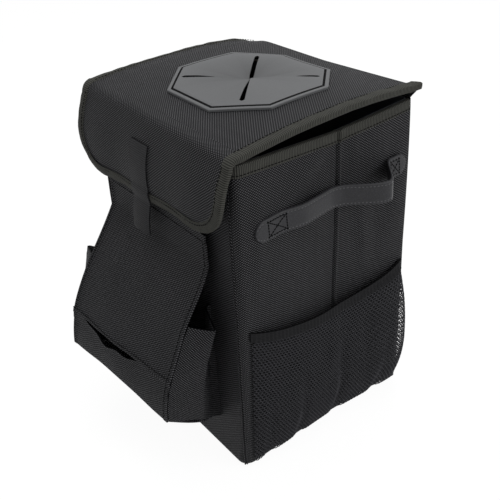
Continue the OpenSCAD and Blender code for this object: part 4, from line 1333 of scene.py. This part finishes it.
def cover_mesh():
    """The moulding: top skin, underside, outer side and the walls of its slits, as one mesh."""
    build = bmesh.new()
    shade = build.loops.layers.float.new("shade")
    inner = COVER_RINGS[-1][0]
    shares = np.linspace(0, 1, 30)[1:]
    turns = np.concatenate([np.linspace(-math.pi / 4, -CORNER_ANGLE, 12)[:-1],
                            np.linspace(-CORNER_ANGLE, CORNER_ANGLE, 22),
                            np.linspace(CORNER_ANGLE, math.pi / 4, 12)[1:]])
    for k in range(4):
        columns = []
        for turn_by in turns:
            swing = turn_by / (math.pi / 4)
            angle = k * math.pi / 2 + turn_by
            direction = np.array((math.cos(angle), math.sin(angle)))
            ends = [(direction * cover_reach(angle, inset), height) for inset, height in COVER_RINGS]
            top = [cover_point(spot, height) for spot, height in ends]
            under = [cover_point(spot, COVER_FOOT) for spot, _ in ends]
            slit = (k - 1) % 4 if swing < 0 else k
            edge = math.pi / 4 * (2 * slit + 1)
            aside = np.array((-math.sin(edge), math.cos(edge))) * (1 if swing < 0 else -1)
            rim = cover_reach(angle, inner)
            for share in shares:
                reach = rim * (1 - share * PETAL_REACH)
                # Beside a slit the skin is drawn back from the slit's middle line
                near = reach * math.sin(math.pi / 4 * (1 - abs(swing)))
                drawn = max(0, slit_gap(slit, reach) - near) if reach < SLITS[slit][0] else 0
                spot = direction * reach + aside * drawn
                height = petal_height(k, share, swing)
                top.append(cover_point(spot, height))
                under.append(cover_point(spot, height - PETAL_T))
            columns.append(([build.verts.new(p) for p in top], [build.verts.new(p) for p in under]))
        n = len(columns[0][0])
        for (top, under), (top_next, under_next) in zip(columns, columns[1:]):
            for i in range(n - 1):
                skin_face = build.faces.new((top[i], top_next[i], top_next[i + 1], top[i + 1]))
                # The groove's walls and floor are marked for painted shade
                if i in GROOVE_RINGS:
                    for loop in skin_face.loops:
                        loop[shade] = 1.0
                if i > 1:
                    build.faces.new((under[i], under[i + 1], under_next[i + 1], under_next[i]))
            build.faces.new((top[0], under[2], under_next[2], top_next[0]))
            build.faces.new((top[-1], top_next[-1], under_next[-1], under[-1]))
        # The cut walls of the slits are marked for painted shade
        for slit, (top, under) in (((k - 1) % 4, columns[0]), (k, columns[-1])):
            rim = cover_reach(math.pi / 4, inner)
            for i in range(len(COVER_RINGS) - 1, n - 1):
                if rim * (1 - shares[i - len(COVER_RINGS) + 1] * PETAL_REACH) < SLITS[slit][0]:
                    cut = build.faces.new((top[i], top[i + 1], under[i + 1], under[i]))
                    for loop in cut.loops:
                        loop[shade] = 1.0
        # The petals are painted darker towards their tips, as painted shade where they sag
        for column, turn_by in zip(columns, turns):
            for i, vertex in enumerate(column[0][len(COVER_RINGS):]):
                painted_shade = TIP_SHADE[k] * shares[i] ** 0.9 * (0.55 + 0.45 * abs(turn_by) / (math.pi / 4))
                for loop in vertex.link_loops:
                    loop[shade] = max(loop[shade], painted_shade)
    bmesh.ops.remove_doubles(build, verts=build.verts, dist=0.02 * MM)
    bmesh.ops.recalc_face_normals(build, faces=build.faces)
    mesh = bpy.data.meshes.new("slit_cover_rubber")
    build.to_mesh(mesh)
    build.free()
    return mesh


# %% Slit cover
# Painted shade: the groove, the cut walls of the slits and the sagging tips are darkened by the mesh's own
# attribute
rubber_tree = rubber.node_tree
rubber_colour = rubber_tree.nodes["Principled BSDF"].inputs["Base Color"].links[0].from_socket
painted_shade = add(rubber_tree, "ShaderNodeAttribute", attribute_name="shade")
dimmed = add(rubber_tree, "ShaderNodeMix", {0: painted_shade.outputs["Fac"], 6: rubber_colour, 7: srgb("#0c0c0d")},
             data_type="RGBA")
rubber_tree.links.new(dimmed.outputs[2], rubber_tree.nodes["Principled BSDF"].inputs["Base Color"])
cover_data = cover_mesh()
cover_data.materials.append(rubber)
cover_data.shade_smooth()
cover_data.set_sharp_from_angle(angle=math.radians(32))
slit_cover = put("slit_cover_rubber", cover_data)
sew_on(slit_cover, "lid", "cover_rubber", "slit_cover")
print("slit cover:", round(COVER_W / MM), "mm from side to side,", len(cover_data.polygons), "faces")

# %% [markdown]
# ## Tissue pocket
#
# The pocket on the front is five pieces of cloth: a front sewn from two halves with a slit
# left open between them, a pleated gusset at each side and a sloping floor. It hangs from
# the wall and bellies out towards its foot. Each panel is a formula for how far it stands
# off the wall, with the hems and the slack of the cloth added.

# %% Sizes of the tissue pocket
POCKET_HALF = 72 * MM
POCKET_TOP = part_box("tissue_front_upper")[1][2]
POCKET_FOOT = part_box("tissue_front_lower")[0][2]
POCKET_WALL_FOOT = 42 * MM
POCKET_GAP = 8 * MM
POCKET_BELLY = 56 * MM
POCKET_SWING = 6 * MM
POCKET_CROWN = 3 * MM
POCKET_T = 1.5 * MM
SLOT_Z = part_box("tissue_front_upper")[0][2]
SLOT_GAPE = 9.5 * MM
SLOT_W = 112 * MM
GUSSET_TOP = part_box("tissue_gusset_right")[1][2]
HEM_STEP = 0.7 * MM
# Slack of the front and the left half's belly, which ends at a height
FRONT_UNEVEN = 2.4 * MM
LEFT_SWELL = 3.2 * MM
LEFT_SWELL_FOOT = 104 * MM
# The front's lower edge is held up in its middle and hangs at its right end
FOOT_HELD_UP = 7 * MM
FOOT_HANGS = 3 * MM
# How far a gusset's tuck beside the wall goes in, at its foot and its top
TUCK_FOOT = 4 * MM
TUCK_TOP = 13 * MM
# Each gusset's pleat: where its ridge lies at foot and top, as a share of the way from wall to
# front, and how far it stands out at the top. The left gusset is pulled out further.
PLEAT = {1: (0.42, 0.5, 15 * MM), -1: (0.6, 0.82, 20 * MM)}
PLEAT_FOOT = 1.5 * MM
GUSSET_SAG = 3 * MM
print("tissue pocket up to", round(POCKET_TOP / MM), "mm, its slit at", round(SLOT_Z / MM), "mm")

# %% Front of the tissue pocket


def pocket_out(x, z):
    """How far the pocket's front stands off the wall."""
    u = x / POCKET_HALF
    fall = clamp(((POCKET_TOP - z) / (POCKET_TOP - POCKET_FOOT) - 0.18) / 0.82)
    belly = math.sin(math.pi / 2 * fall) ** 1.15
    slack = rumple((x, 0, z), 42 * MM, FRONT_UNEVEN, 9) * hump(clamp(fall)) ** 0.5
    up = hump(clamp((z - LEFT_SWELL_FOOT) / (POCKET_TOP - LEFT_SWELL_FOOT)))
    belly *= POCKET_BELLY - POCKET_SWING * u + POCKET_CROWN * (1 - u * u)
    return POCKET_GAP + belly + slack + LEFT_SWELL * clamp(-u) ** 1.5 * up ** 0.5


def pocket_foot(x):
    """Height of the lower edge of the pocket's front, held up a little in its middle."""
    u = x / POCKET_HALF
    held_up = FOOT_HELD_UP * math.cos(math.pi / 2 * clamp(abs(u + 0.08) / 1.2)) ** 2
    return POCKET_FOOT + held_up - FOOT_HANGS * clamp(u) ** 2


def slot_lip(x):
    """How far the slit's lower lip hangs at x, with two sags left of its middle."""
    t = clamp(abs(x + 11 * MM) / (SLOT_W * 0.37))
    sags = 0.72 + 0.22 * math.cos((x + 16 * MM) / (5.5 * MM))
    return SLOT_GAPE * max(0, math.cos(math.pi / 2 * t)) * sags


def front_half(z_low, z_high, low_lip, high_lip, rows, hem_low=0.0, hem_high=0.0):
    """Rows of points of one half of the pocket's front, from its top edge to its lower edge.

    The lips are shares of the slit's gape by which the edges hang, and no z_low means the foot.
    """
    grid = []
    for v in np.linspace(1, 0, rows):
        row = []
        for x in np.linspace(-POCKET_HALF, POCKET_HALF, 72):
            low = (z_low or pocket_foot(x)) + low_lip * slot_lip(x)
            high = z_high + high_lip * slot_lip(x)
            z = low + (high - low) * v
            # A folded hem is one layer thicker and ends in a small step
            at_low, at_high = hem_low - (z - low), hem_high - (high - z)
            hem = HEM_STEP * (clamp(at_low / (1 * MM)) + clamp(at_high / (1 * MM)))
            edge = 0.5 * MM * clamp((abs(x) - POCKET_HALF + 5 * MM) / (1 * MM))
            row.append((x, lean(-HALF_D, z) - pocket_out(x, z) - hem - edge, z))
        grid.append(row)
    return grid


upper_rows = front_half(SLOT_Z, POCKET_TOP, 0.12, 0, 90, 4 * MM, 9 * MM)
lower_rows = front_half(None, SLOT_Z, 0, -0.85, 34, 0, 2 * MM)
upper_front = cloth("tissue_upper_cloth", upper_rows, POCKET_T, oxford, side=-1)
lower_front = cloth("tissue_lower_cloth", lower_rows, POCKET_T, oxford, side=-1)
print("tissue pocket front:", len(upper_rows), "and", len(lower_rows), "rows of points")

# %% Gussets and floor of the tissue pocket


def gusset_fold(side, q, v):
    """How far a gusset stands out sideways: q runs from the wall to the front, v from its foot to its top."""
    peak_foot, peak_top, top_out = PLEAT[side]
    peak = peak_foot * (1 - v) + peak_top * v
    tuck = -(TUCK_FOOT * (1 - v) + TUCK_TOP * v)
    out = PLEAT_FOOT * (1 - v) + top_out * v
    return float(np.interp(q, [0, 0.14, peak - 0.03, peak + 0.03, 1], [tuck, tuck, out, out, 0]))


def gusset_rows(side, rows=40, cols=48):
    """Rows of points of one gusset's outer face, from its top hem to its foot."""
    grid = []
    for v in np.linspace(1, 0, rows):
        row = []
        for q in np.linspace(0, 1, cols):
            foot = pocket_foot(side * POCKET_HALF)
            z = (POCKET_WALL_FOOT + (foot - POCKET_WALL_FOOT) * q) * (1 - v) + GUSSET_TOP * v
            reach = pocket_out(side * POCKET_HALF, z) - POCKET_T - 0.3 * MM
            fold = gusset_fold(side, q, v)
            sag = GUSSET_SAG * v ** 6 * hump(q)
            hem = HEM_STEP * clamp((v - 0.9) * 40)
            slack = rumple((side, q * 0.06, z), 24 * MM, 1.2 * MM, 13) * hump(q)
            row.append((side * (POCKET_HALF + fold + hem + slack), lean(-HALF_D, z) - q * reach, z - sag))
        grid.append(row)
    return grid


gussets = {side: cloth(f"tissue_gusset_cloth_{hand}", gusset_rows(side), POCKET_T, oxford, side=side)
           for side, hand in SIDES}


def pocket_floor_rows(rows=20, cols=40):
    """Rows of points of the pocket's underside, from the wall to the foot of its front."""
    grid = []
    for q in np.linspace(0, 1, rows):
        row = []
        for u in np.linspace(-1, 1, cols):
            x = (POCKET_HALF + gusset_fold(math.copysign(1, u), q, 0) - 0.6 * MM) * u
            foot = pocket_foot(clamp(x, -POCKET_HALF, POCKET_HALF))
            reach = pocket_out(clamp(x, -POCKET_HALF, POCKET_HALF), foot) - 0.6 * MM
            z = POCKET_WALL_FOOT + (foot - POCKET_WALL_FOOT) * q - 2.2 * MM * hump(q)
            z += rumple((x, q * 0.05, 0), 30 * MM, 1.2 * MM, 21) * hump(q)
            row.append((x, lean(-HALF_D, z) - q * reach, z))
        grid.append(row)
    return grid


pocket_floor = cloth("tissue_floor_cloth", pocket_floor_rows(), POCKET_T, oxford, side=1)
POCKET = (
    (upper_front, "tissue_front_upper", "gathered"), (lower_front, "tissue_front_lower", "gathered"),
    (gussets[1], "tissue_gusset_right", "folded"), (gussets[-1], "tissue_gusset_left", "folded"),
    (pocket_floor, "tissue_floor", "stretched"),
)
for piece, node, held in POCKET:
    sew_on(piece, "bin", "oxford_cloth", node)

# %% [markdown]
# ## Net pockets
#
# Each side wall carries a pocket of knitted net with an elastic hem. The net is real
# geometry: a lattice of triangles is laid over the pocket's surface, its dual mesh turns
# every point into a six-sided mesh opening, and each edge becomes a thread. Geometry
# Nodes do that from a radius. Pleats sewn in along the foot give the net its belly.
# Real openings are about 2 mm wide. They are drawn 3 mm wide to show at this distance.

# %% Node trees for net and stitches


def node_group(name, numbers):
    """A Geometry Nodes tree with geometry in and out, named number inputs and a material input."""
    tree = bpy.data.node_groups.new(name, "GeometryNodeTree")
    tree.interface.new_socket(name="Geometry", in_out="INPUT", socket_type="NodeSocketGeometry")
    for label in numbers:
        tree.interface.new_socket(name=label, in_out="INPUT", socket_type="NodeSocketFloat")
    tree.interface.new_socket(name="Material", in_out="INPUT", socket_type="NodeSocketMaterial")
    tree.interface.new_socket(name="Geometry", in_out="OUTPUT", socket_type="NodeSocketGeometry")
    return tree, add(tree, "NodeGroupInput").outputs


def end_group(tree, geometry, material):
    """Realises the instances, sets the material and ends the tree."""
    real = add(tree, "GeometryNodeRealizeInstances", {"Geometry": geometry})
    painted = add(tree, "GeometryNodeSetMaterial", {"Geometry": real.outputs[0], "Material": material})
    add(tree, "NodeGroupOutput", {"Geometry": painted.outputs[0]})
    return tree


def net_tree():
    """Threads along the edges of the dual of a lattice of triangles."""
    tree, given = node_group("knitted net", ["Thread radius"])
    dual = add(tree, "GeometryNodeDualMesh", {"Mesh": given["Geometry"]})
    lines = add(tree, "GeometryNodeMeshToCurve", {"Mesh": dual.outputs[0]})
    ring = add(tree, "GeometryNodeCurvePrimitiveCircle", {"Resolution": 4, "Radius": given["Thread radius"]})
    threads = add(tree, "GeometryNodeCurveToMesh",
                  {"Curve": lines.outputs[0], "Profile Curve": ring.outputs[0], "Fill Caps": True})
    return end_group(tree, threads.outputs[0], given["Material"])


def stitch_tree():
    """Rows of lock stitches: a small rounded bar every pitch along each line."""
    tree, given = node_group("rows of stitches", ["Pitch", "Length", "Thickness"])
    lines = add(tree, "GeometryNodeMeshToCurve", {"Mesh": given["Geometry"]})
    spots = add(tree, "GeometryNodeResampleCurve", {"Curve": lines.outputs[0], "Length": given["Pitch"]},
                mode="LENGTH")
    bar = add(tree, "GeometryNodeMeshUVSphere", {"Segments": 6, "Rings": 4, "Radius": 0.5})
    way = add(tree, "GeometryNodeInputTangent")
    turned = add(tree, "FunctionNodeAlignRotationToVector", {"Vector": way.outputs[0]}, axis="Z")
    size = add(tree, "ShaderNodeCombineXYZ", {"X": given["Thickness"], "Y": given["Thickness"],
                                              "Z": given["Length"]})
    rows = add(tree, "GeometryNodeInstanceOnPoints",
               {"Points": spots.outputs[0], "Instance": bar.outputs[0], "Rotation": turned.outputs[0],
                "Scale": size.outputs[0]})
    return end_group(tree, rows.outputs[0], given["Material"])


NET_TREE, STITCH_TREE = net_tree(), stitch_tree()


def run_tree(name, points, edges, faces, tree, material, **numbers):
    """Makes a mesh from points, runs a node tree over it and returns the plain result."""
    mesh = bpy.data.meshes.new(name)
    mesh.from_pydata([tuple(p) for p in points], edges, faces)
    made = put(name, mesh)
    nodes = made.modifiers.new("nodes", "NODES")
    nodes.node_group = tree
    values = {label.replace("_", " "): value for label, value in numbers.items()} | {"Material": material}
    for socket in tree.interface.items_tree:
        if socket.in_out == "INPUT" and socket.name in values:
            nodes[socket.identifier] = values[socket.name]
    settle(made)
    made.data.shade_smooth()
    return made


# %% Sizes of the net pockets
MESH_HALF = FLAT_Y - 1 * MM
MESH_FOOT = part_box("mesh_net_right")[0][2]
MESH_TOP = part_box("mesh_hem_right")[1][2]
MESH_SAG = 13 * MM
HEM_W = 9 * MM
HEM_OUT = 8 * MM
NET_BELLY = 13 * MM
NET_SHARE = 0.92
PLEATS = (-67 * MM, -33 * MM, 13 * MM, 58 * MM)
NET_PITCH = 3.2 * MM
THREAD_R = 0.56 * MM
# Half width of a pleat, how much of the belly it takes up, and how far the foot hangs between two
PLEAT_HALF = 5 * MM
PLEAT_TAKES = 0.45
FOOT_HANG = 2.3 * MM
FOOT_OUT = 1.2 * MM
# Share of the height at which the net stands out most
BELLY_AT = 0.35
# Beside the back corner the net swells out and back, from here on and most at a share of the way
FULL_FROM = 40 * MM
FULL_AT = 0.8
FULL_OUT = 7.5 * MM
FULL_BACK = 7 * MM
NET_UNEVEN = 2.0 * MM
# The real net is cut wider than the wall, for its pleats
# The elastic gathers the hem into fine upright waves, 3.7 mm apart
HEM_OFF = 1.5 * MM
HEM_WAVE = 0.35 * MM
HEM_WAVES = 1.7 / MM
print("net pockets up to", round(MESH_TOP / MM), "mm")

# %% Shape of the net pockets


def mesh_edge(y):
    """Height of the hem's upper edge, which sags between the corners."""
    return MESH_TOP - MESH_SAG * (1 - (y / MESH_HALF) ** 2)


def mesh_off(y, w):
    """How far net and hem stand off the wall, w being the share of the height."""
    across = max(0, math.cos(math.pi / 2 * y / MESH_HALF)) ** 0.6
    if w < BELLY_AT:
        up = math.sin(math.pi / 2 * w / BELLY_AT)
    else:
        up = 1 - (1 - HEM_OUT / NET_BELLY) * ((w - BELLY_AT) / (1 - BELLY_AT)) ** 2
    pleat = pleat_in(y)
    foot = FOOT_OUT * (1 - pleat) * (1 - w) ** 4
    return 0.3 * MM + foot + NET_BELLY * across * up * (1 - PLEAT_TAKES * pleat * (1 - w) ** 1.5)


def pleat_in(y):
    """How deep in a pleat of the net's foot a depth y lies, 0 to 1."""
    return max(math.exp(-((y - p) / PLEAT_HALF) ** 2) for p in PLEATS)


def net_full(y, w):
    """How full the net is beside the back corner, where it swells out and back: 0 to 1."""
    t = clamp((y - FULL_FROM) / (MESH_HALF - FULL_FROM))
    if t < FULL_AT:
        along = math.sin(math.pi / 2 * clamp(t / FULL_AT))
    else:
        along = math.cos(math.pi / 2 * (t - FULL_AT) / (1 - FULL_AT))
    return along * hump(clamp(w / 0.95)) ** 0.7


def mesh_point(side, y, w, out=0.0):
    """A point of the pocket: w runs over the net up to NET_SHARE, and over the hem from there to 1."""
    hem = HEM_W * (1 if w <= NET_SHARE else (1 - w) / (1 - NET_SHARE))
    foot = MESH_FOOT - FOOT_HANG * (1 - pleat_in(y))
    z = foot + (mesh_edge(y) - hem - foot) * min(1, w / NET_SHARE)
    full = net_full(y, w) if y > 0 else 0.0
    uneven = rumple((side * 0.3, y, z), 22 * MM, NET_UNEVEN, 31) * hump(clamp(w))
    uneven *= max(0, math.cos(math.pi / 2 * y / MESH_HALF))
    off = mesh_off(y, w) + FULL_OUT * full + uneven + out
    return (side * (wall_x(y, z, side) + off), lean(y + FULL_BACK * full, z), z)


# %% Net pockets and their elastic hems


def net_lattice(side):
    """A lattice of triangles over the net, each row shifted by half a pitch from the one below."""
    # Rows of equal-sided triangles lie closer than the points of a row
    rows = round((MESH_TOP - MESH_SAG / 2 - MESH_FOOT) / (NET_PITCH * math.sqrt(3) / 2))
    cols = round(2 * MESH_HALF / NET_PITCH)
    points, faces = [], []
    for i in range(rows + 1):
        for j in range(cols + 1):
            y = MESH_HALF * (2 * clamp((j + 0.5 * (i % 2)) / cols) - 1)
            points.append(mesh_point(side, y, NET_SHARE * i / rows, 0.4 * MM))
    for i in range(rows):
        for j in range(cols):
            a, b = i * (cols + 1) + j, (i + 1) * (cols + 1) + j
            faces += [(a, a + 1, b), (a + 1, b + 1, b)] if i % 2 == 0 else [(a, b + 1, b), (a, a + 1, b + 1)]
    return points, faces


for side, hand in SIDES:
    lattice, triangles = net_lattice(side)
    net = run_tree(f"net_pocket_{hand}", lattice, [], triangles, NET_TREE, net_yarn, Thread_radius=THREAD_R)
    sew_on(net, "bin", "mesh_net", f"mesh_net_{hand}")
    band = [[mesh_point(side, y, w, HEM_OFF + HEM_WAVE * math.sin(y * HEM_WAVES))
             for y in np.linspace(-MESH_HALF, MESH_HALF, 150)] for w in np.linspace(1, NET_SHARE, 7)]
    hem = cloth(f"net_hem_{hand}", band, 1.8 * MM, elastic, side=-side)
    sew_on(hem, "bin", "elastic_hem", f"mesh_hem_{hand}")
    print(net.name, len(net.data.polygons), "faces")

# %% [markdown]
# ## Handles
#
# On each side wall sits a strap of leather-look material with round ends. It lies on the
# wall where it is sewn and bows out between, further back than its middle, as a strap
# does that was pushed up. Its edges are turned in and stitched, which leaves a groove
# just inside them.

# %% Sizes and shape of a handle
STRAP_W = 19 * MM
STRAP_T = 2.4 * MM
HANDLE_HALF = 79 * MM
# Stand-off of the strap from the wall along it, smooth between these places
HANDLE_BOW = ((-56, 0), (-30, 4.6), (-5, 4.2), (40, 23), (62, 0))
HANDLE_Y = 3 * MM
HANDLE_Z = 245 * MM
HANDLE_TILT = math.radians(3.5)
EDGE_STITCH = 2.3 * MM
# The bowed strap hangs by this share of how far it stands off
STRAP_HANGS = 0.15
EDGE_ROUND = 1.2 * MM
STITCH_GROOVE = 0.45 * MM
END_L = 10 * MM


def handle_off(y):
    """How far the strap stands off the wall."""
    for (y0, out0), (y1, out1) in zip(HANDLE_BOW, HANDLE_BOW[1:]):
        t = (y / MM - y0) / (y1 - y0)
        if 0 <= t < 1:
            return MM * (out0 + (out1 - out0) * smooth(t))
    return 0.0


def strap_half(y):
    """Half the width of the strap, round at both ends."""
    past = abs(y) - (HANDLE_HALF - STRAP_W / 2)
    return STRAP_W / 2 if past < 0 else math.sqrt(max((0.6 * MM) ** 2, (STRAP_W / 2) ** 2 - past ** 2))


def strap_point(side, y, c, out):
    """A point of the strap: y along it, c across it, out from its back."""
    turned_y = HANDLE_Y + y * math.cos(HANDLE_TILT) - c * math.sin(HANDLE_TILT)
    z = HANDLE_Z + y * math.sin(HANDLE_TILT) + c * math.cos(HANDLE_TILT) - STRAP_HANGS * handle_off(y)
    return (side * (wall_x(turned_y, z, side) + 0.3 * MM + handle_off(y) + out), turned_y, z)


def strap_thick(y, c):
    """Thickness of the strap: rounded off at its edges, with a groove where it is stitched."""
    rim = max(0, strap_half(y) - abs(c))
    round_off = math.sqrt(clamp(1 - (1 - clamp(rim / EDGE_ROUND)) ** 2))
    groove = STITCH_GROOVE * math.exp(-((rim - EDGE_STITCH) / (0.6 * MM)) ** 2)
    return STRAP_T * (0.35 + 0.65 * round_off) - groove


# %% Handles
for side, hand in SIDES:
    lengths = np.concatenate([np.linspace(-HANDLE_HALF, -HANDLE_HALF + END_L, 14)[:-1],
                              np.linspace(-HANDLE_HALF + END_L, HANDLE_HALF - END_L, 90),
                              np.linspace(HANDLE_HALF - END_L, HANDLE_HALF, 14)[1:]])
    # Points lie closer together towards the strap's edges
    spread = np.sin(np.linspace(-math.pi / 2, math.pi / 2, 27))
    face = [[strap_point(side, y, c * strap_half(y), strap_thick(y, c * strap_half(y))) for c in spread]
            for y in lengths]
    back = np.array([[strap_point(side, y, c * strap_half(y), 0) for c in spread] for y in lengths])
    handle = cloth(f"handle_strap_{hand}", face, STRAP_T, leather, inner=back)
    sew_on(handle, "bin", "strap_leather", f"handle_{hand}")
print("handle strap:", round(2 * HANDLE_HALF / MM), "mm")

# %% [markdown]
# ## Hanging strap on the back
#
# Two lengths of webbing are sewn to the back wall near its corners. One ends in the
# socket of a side-release buckle, the other runs through a slider into the plug. The
# buckle and slider are rigid mouldings and stay as the CAD model has them.

# %% Webbing on the back
WEB_W = 25 * MM
WEB_T = 1.6 * MM
fixed_low, fixed_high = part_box("rear_strap_fixed")
adjusting_low, adjusting_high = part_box("rear_strap_adjusting")
WEB_Z = (fixed_low[2] + fixed_high[2]) / 2
WEB_HALF, WEB_Y = adjusting_high[:2]
ANCHOR_L = 18 * MM
LEVEL_FROM = 54 * MM


def webbing_line(x_end):
    """Points along the webbing's outer face from its sewn end to the buckle, with a soft slanted run."""
    points = []
    for x in np.linspace(WEB_HALF, x_end, 70):
        t = clamp((WEB_HALF - ANCHOR_L - x) / (WEB_HALF - ANCHOR_L - LEVEL_FROM))
        points.append((x, HALF_D + WEB_T + (WEB_Y - HALF_D - WEB_T) * smooth(t)))
    return points


for side, name, x_end in ((-1, "rear_strap_fixed", -fixed_high[0]),
                          (1, "rear_strap_adjusting", adjusting_low[0])):
    rows = [[(side * x, y, WEB_Z + u * WEB_W / 2) for u in np.linspace(-1, 1, 8)]
            for x, y in webbing_line(x_end)]
    strap = cloth(f"{name}_webbing", rows, WEB_T, webbing, side=-side)
    turn_ribs(strap)
    sew_on(strap, "bin", "webbing", name)
print("webbing stands off", round((WEB_Y - HALF_D) / MM, 1), "mm at the buckle")

# %% [markdown]
# ## Stitches
#
# Every seam of the bin is sewn in black nylon, about eight stitches to the inch, and the
# straps' edges in a thread painted pale, as a painted highlight for the light it catches.
# The rows are lines just above the surface, and one Geometry Nodes tree sets a small bar
# every stitch length along them.

# %% Stitches on slit cover, flap, lid and rim
STITCH_PITCH = 3.2 * MM
STITCH_L = 2.5 * MM
STITCH_T = 0.8 * MM


def stitches(name, lines, body, pitch=STITCH_PITCH, length=STITCH_L, thick=STITCH_T, material=thread):
    """Rows of stitches along several lines of points, riding on one body."""
    points, edges = [], []
    for line in lines:
        first = len(points)
        points += [tuple(p) for p in line]
        edges += [(k, k + 1) for k in range(first, len(points) - 1)]
    row = run_tree(name, points, edges, [], STITCH_TREE, material,
                   Pitch=pitch, Length=length, Thickness=thick)
    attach(row, body)
    print(name, "along", len(lines), "lines")


def in_groove(angle):
    """A point of the thread in the slit cover's groove, in a direction from the cover's middle."""
    reach = cover_reach(angle, GROOVE_AT)
    return cover_point((reach * math.cos(angle), reach * math.sin(angle)), GROOVE_FLOOR + 0.5 * MM)


groove_row = [in_groove(a) for a in np.linspace(0, 2 * math.pi, 241)]
# The cover's thread is drawn thicker than it is, so that it shows in its groove
stitches("cover_stitches", [groove_row], "lid", pitch=2.9 * MM, length=3.4 * MM, thick=1.5 * MM)
lift = TAPE_T + 0.25 * MM
row_in = TAPE_W * 0.72
flap_row = [skin(x + inward[0] * row_in, d + inward[1] * row_in, lift)
            for x, d, inward in flap_edge() if d > FOLD_FROM + 12 * MM]
stitches("flap_edge_stitches", [flap_row], "flap")
lid_rows_stitched = [[skin(s * (LID_HALF_W - row_in), d, lift)
                      for d in np.linspace(LID_FROM + 2 * MM, FOLD_FROM - 2 * MM, 80)] for s in (1, -1)]
stitches("lid_edge_stitches", lid_rows_stitched, "lid")
rim_row = [p + o * lift + np.array((0, 0, -TAPE_W * 0.75)) for p, o in zip(rim_points, rim_out)]
stitches("rim_stitches", [rim_row], "bin")

# %% Stitches on the handles
# Each box of stitches on a strap: where it starts and ends along the strap, in mm
BOX_STITCHES = ((-66.5, -49.0), (70.5, 61.0))
for side, hand in SIDES:
    ys = np.linspace(-HANDLE_HALF + EDGE_STITCH, HANDLE_HALF - EDGE_STITCH, 150)

    def on_strap(y, c):
        """A point just above the face of this side's strap."""
        return strap_point(side, y, c, strap_thick(y, c) + 0.1 * MM)

    borders = [[on_strap(y, s * max(0, strap_half(y) - EDGE_STITCH)) for y in ys] for s in (1, -1)]
    boxes = []
    c = STRAP_W / 2 - EDGE_STITCH - 0.8 * MM
    for near, far in BOX_STITCHES:
        a, b = near * MM, far * MM
        for y0, c0, y1, c1 in ((a, -c, a, c), (b, -c, b, c), (a, -c, b, -c), (a, c, b, c), (a, -c, b, c),
                               (a, c, b, -c)):
            boxes.append([on_strap(y0 + (y1 - y0) * t, c0 + (c1 - c0) * t) for t in np.linspace(0, 1, 12)])
    stitches(f"handle_edge_stitches_{hand}", borders, "bin", pitch=3.0 * MM, length=1.7 * MM, thick=0.7 * MM,
             material=strap_thread_painted_pale)
    stitches(f"handle_box_stitches_{hand}", boxes, "bin", pitch=2.4 * MM, length=2.3 * MM, thick=1.0 * MM)

# %% Stitches on the tissue pocket


def on_pocket(x, z):
    """A point just above the hems of the pocket's front."""
    return (x, lean(-HALF_D, z) - pocket_out(x, z) - 0.35 * MM - HEM_STEP, z)


ROW_IN = 3 * MM
heights = np.linspace(POCKET_FOOT + ROW_IN, POCKET_TOP - ROW_IN, 90)
pocket_lines = [[on_pocket(s * (POCKET_HALF - ROW_IN), z) for z in heights] for s in (1, -1)]
for z in (POCKET_TOP - 7 * MM, SLOT_Z + 3.2 * MM):
    pocket_lines.append([on_pocket(x, z) for x in np.linspace(-POCKET_HALF, POCKET_HALF, 60)])
stitches("pocket_stitches", pocket_lines, "bin")
print("rows of stitches on the pocket:", len(pocket_lines))

# %% [markdown]
# ## Finish of the rigid pieces
#
# The boards, the buckle, the slider and the two halves of the hook-and-loop closure have
# their true shape already. They only get their materials.

# %% Materials on the CAD model's own nodes
FINISH = {
    "front_board": board, "back_board": board, "floor_board": board,
    "buckle_socket": acetal, "buckle_plug": acetal, "strap_slider": acetal,
    "loop_patch": pile, "hook_patch": pile,
}
for node, finish in FINISH.items():
    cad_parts[node].data.materials.clear()
    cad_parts[node].data.materials.append(finish)
print("finished nodes:", len(FINISH))
